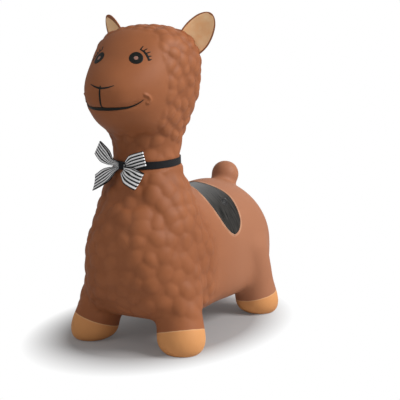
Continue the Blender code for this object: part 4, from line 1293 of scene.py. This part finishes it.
def add_lights():
    """Soft studio light, with its key from the viewer's right."""
    for name, spot, size, power in LIGHTS:
        data = bpy.data.lights.new(name, "AREA")
        data.size = size
        data.energy = power
        aimed(name, data, spot, Vector(LIGHT_TARGET) - Vector(spot))


def set_camera():
    """The camera at the photograph's angle, looking down a little."""
    data = bpy.data.cameras.new("camera")
    data.lens = CAMERA_LENS
    turn, lift = math.radians(CAMERA_TURN), math.radians(CAMERA_LIFT)
    level = math.cos(lift)
    ahead = Vector((-math.sin(turn) * level, math.cos(turn) * level, -math.sin(lift)))
    bpy.context.scene.camera = aimed("camera", data, CAMERA_PLACE, ahead)
    bpy.context.scene.view_settings.view_transform = "Standard"


def cut_valve_seat(skin):
    """The valve's hole and flat seat, cut through the skin."""
    node = frame["nodes"]["valve_body"]
    spots = np.array([node.matrix_world @ vert.co for vert in node.data.vertices])
    axis = Vector(next(j for j in frame["joints"] if j["name"] == "plug_pull")["axis"])
    heights = spots @ np.array(axis)
    middle = Vector(spots.mean(axis=0))
    top = middle + axis * (heights.max() - middle.dot(axis))
    turn = UP.rotation_difference(axis).to_matrix().to_4x4()
    upright = Matrix.Translation(top) @ turn
    lip, hole = VALVE_LIP_RADIUS + FIT_GAP, VALVE_BODY_RADIUS + FIT_GAP
    seat = FIT_GAP / 2 - VALVE_LIP
    rings = []
    for radius, height in ((hole, HOLE_LOW), (hole, seat), (lip, seat), (lip, HOLE_HIGH)):
        rings.append([upright @ point for point in ring_points((0, 0, height), radius, radius)])
    form = bmesh.new()
    add_loft(form, rings)
    cutter = link("valve_hole", mesh_of(form, "valve_hole"))
    add_modifier(skin, "BOOLEAN", operation="DIFFERENCE", solver="EXACT", object=cutter)
    apply_modifiers(skin)
    points, _ = vertex_arrays(skin.data)
    away = np.linalg.norm(points - np.array(top), axis=1)
    depth = skin.data.attributes["saddle"].data
    for i in np.flatnonzero(away < 2 * lip):
        depth[i].value = lip
    bpy.data.objects.remove(cutter)


def main():
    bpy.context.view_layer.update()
    set_camera()
    add_floor()
    add_world()
    add_lights()
    skin_look = skin_material()
    ink = coat_material("face_ink", *FACE_INK)
    pupil = coat_material("pupil_paint", *PUPIL_PAINT)
    plastic = coat_material("valve_plastic", *VALVE_PLASTIC)
    striped = ribbon_material("striped_ribbon", True)
    plain = ribbon_material("black_ribbon", False)
    skin = alpaca_skin(body_form(), skin_look)
    tree = BVHTree.FromObject(skin, bpy.context.evaluated_depsgraph_get())
    toy = [skin, rim_piece(tree, skin_look)]
    toy += [ear_piece(1, "ear_left", skin_look), ear_piece(-1, "ear_right", skin_look)]
    toy += painted_face(tree, ink, pupil)
    cut_valve_seat(skin)
    for item in toy:
        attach(item, "toy")
        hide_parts("body_skin")
    level = KNOT_THICKNESS + 2 * FIT_GAP + RIBBON_THICKNESS / 2
    band = cloth_band()
    back = cloth_ribbon("ribbon_back_cloth", BACK_RIBBON_LOBES, level, BACK_RIBBON_LIFT)
    level += 2 * LAYER_STEP
    front = cloth_ribbon("ribbon_front_cloth", FRONT_RIBBON_LOBES, level, FRONT_RIBBON_LIFT)
    knot = cloth_knot()
    cloths = (
        (band, "neck_band", plain),
        (back, "bow_ribbon_back", striped),
        (front, "bow_ribbon_front", striped),
        (knot, "bow_knot", plain),
    )
    for item, node, look in cloths:
        item.data.materials.append(look)
        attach(item, "neckwear")
        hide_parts(node)
    for name in ("valve_body", "valve_plug"):
        node = frame["nodes"][name]
        for place_of_slot in node.material_slots:
            place_of_slot.material = plastic


main()
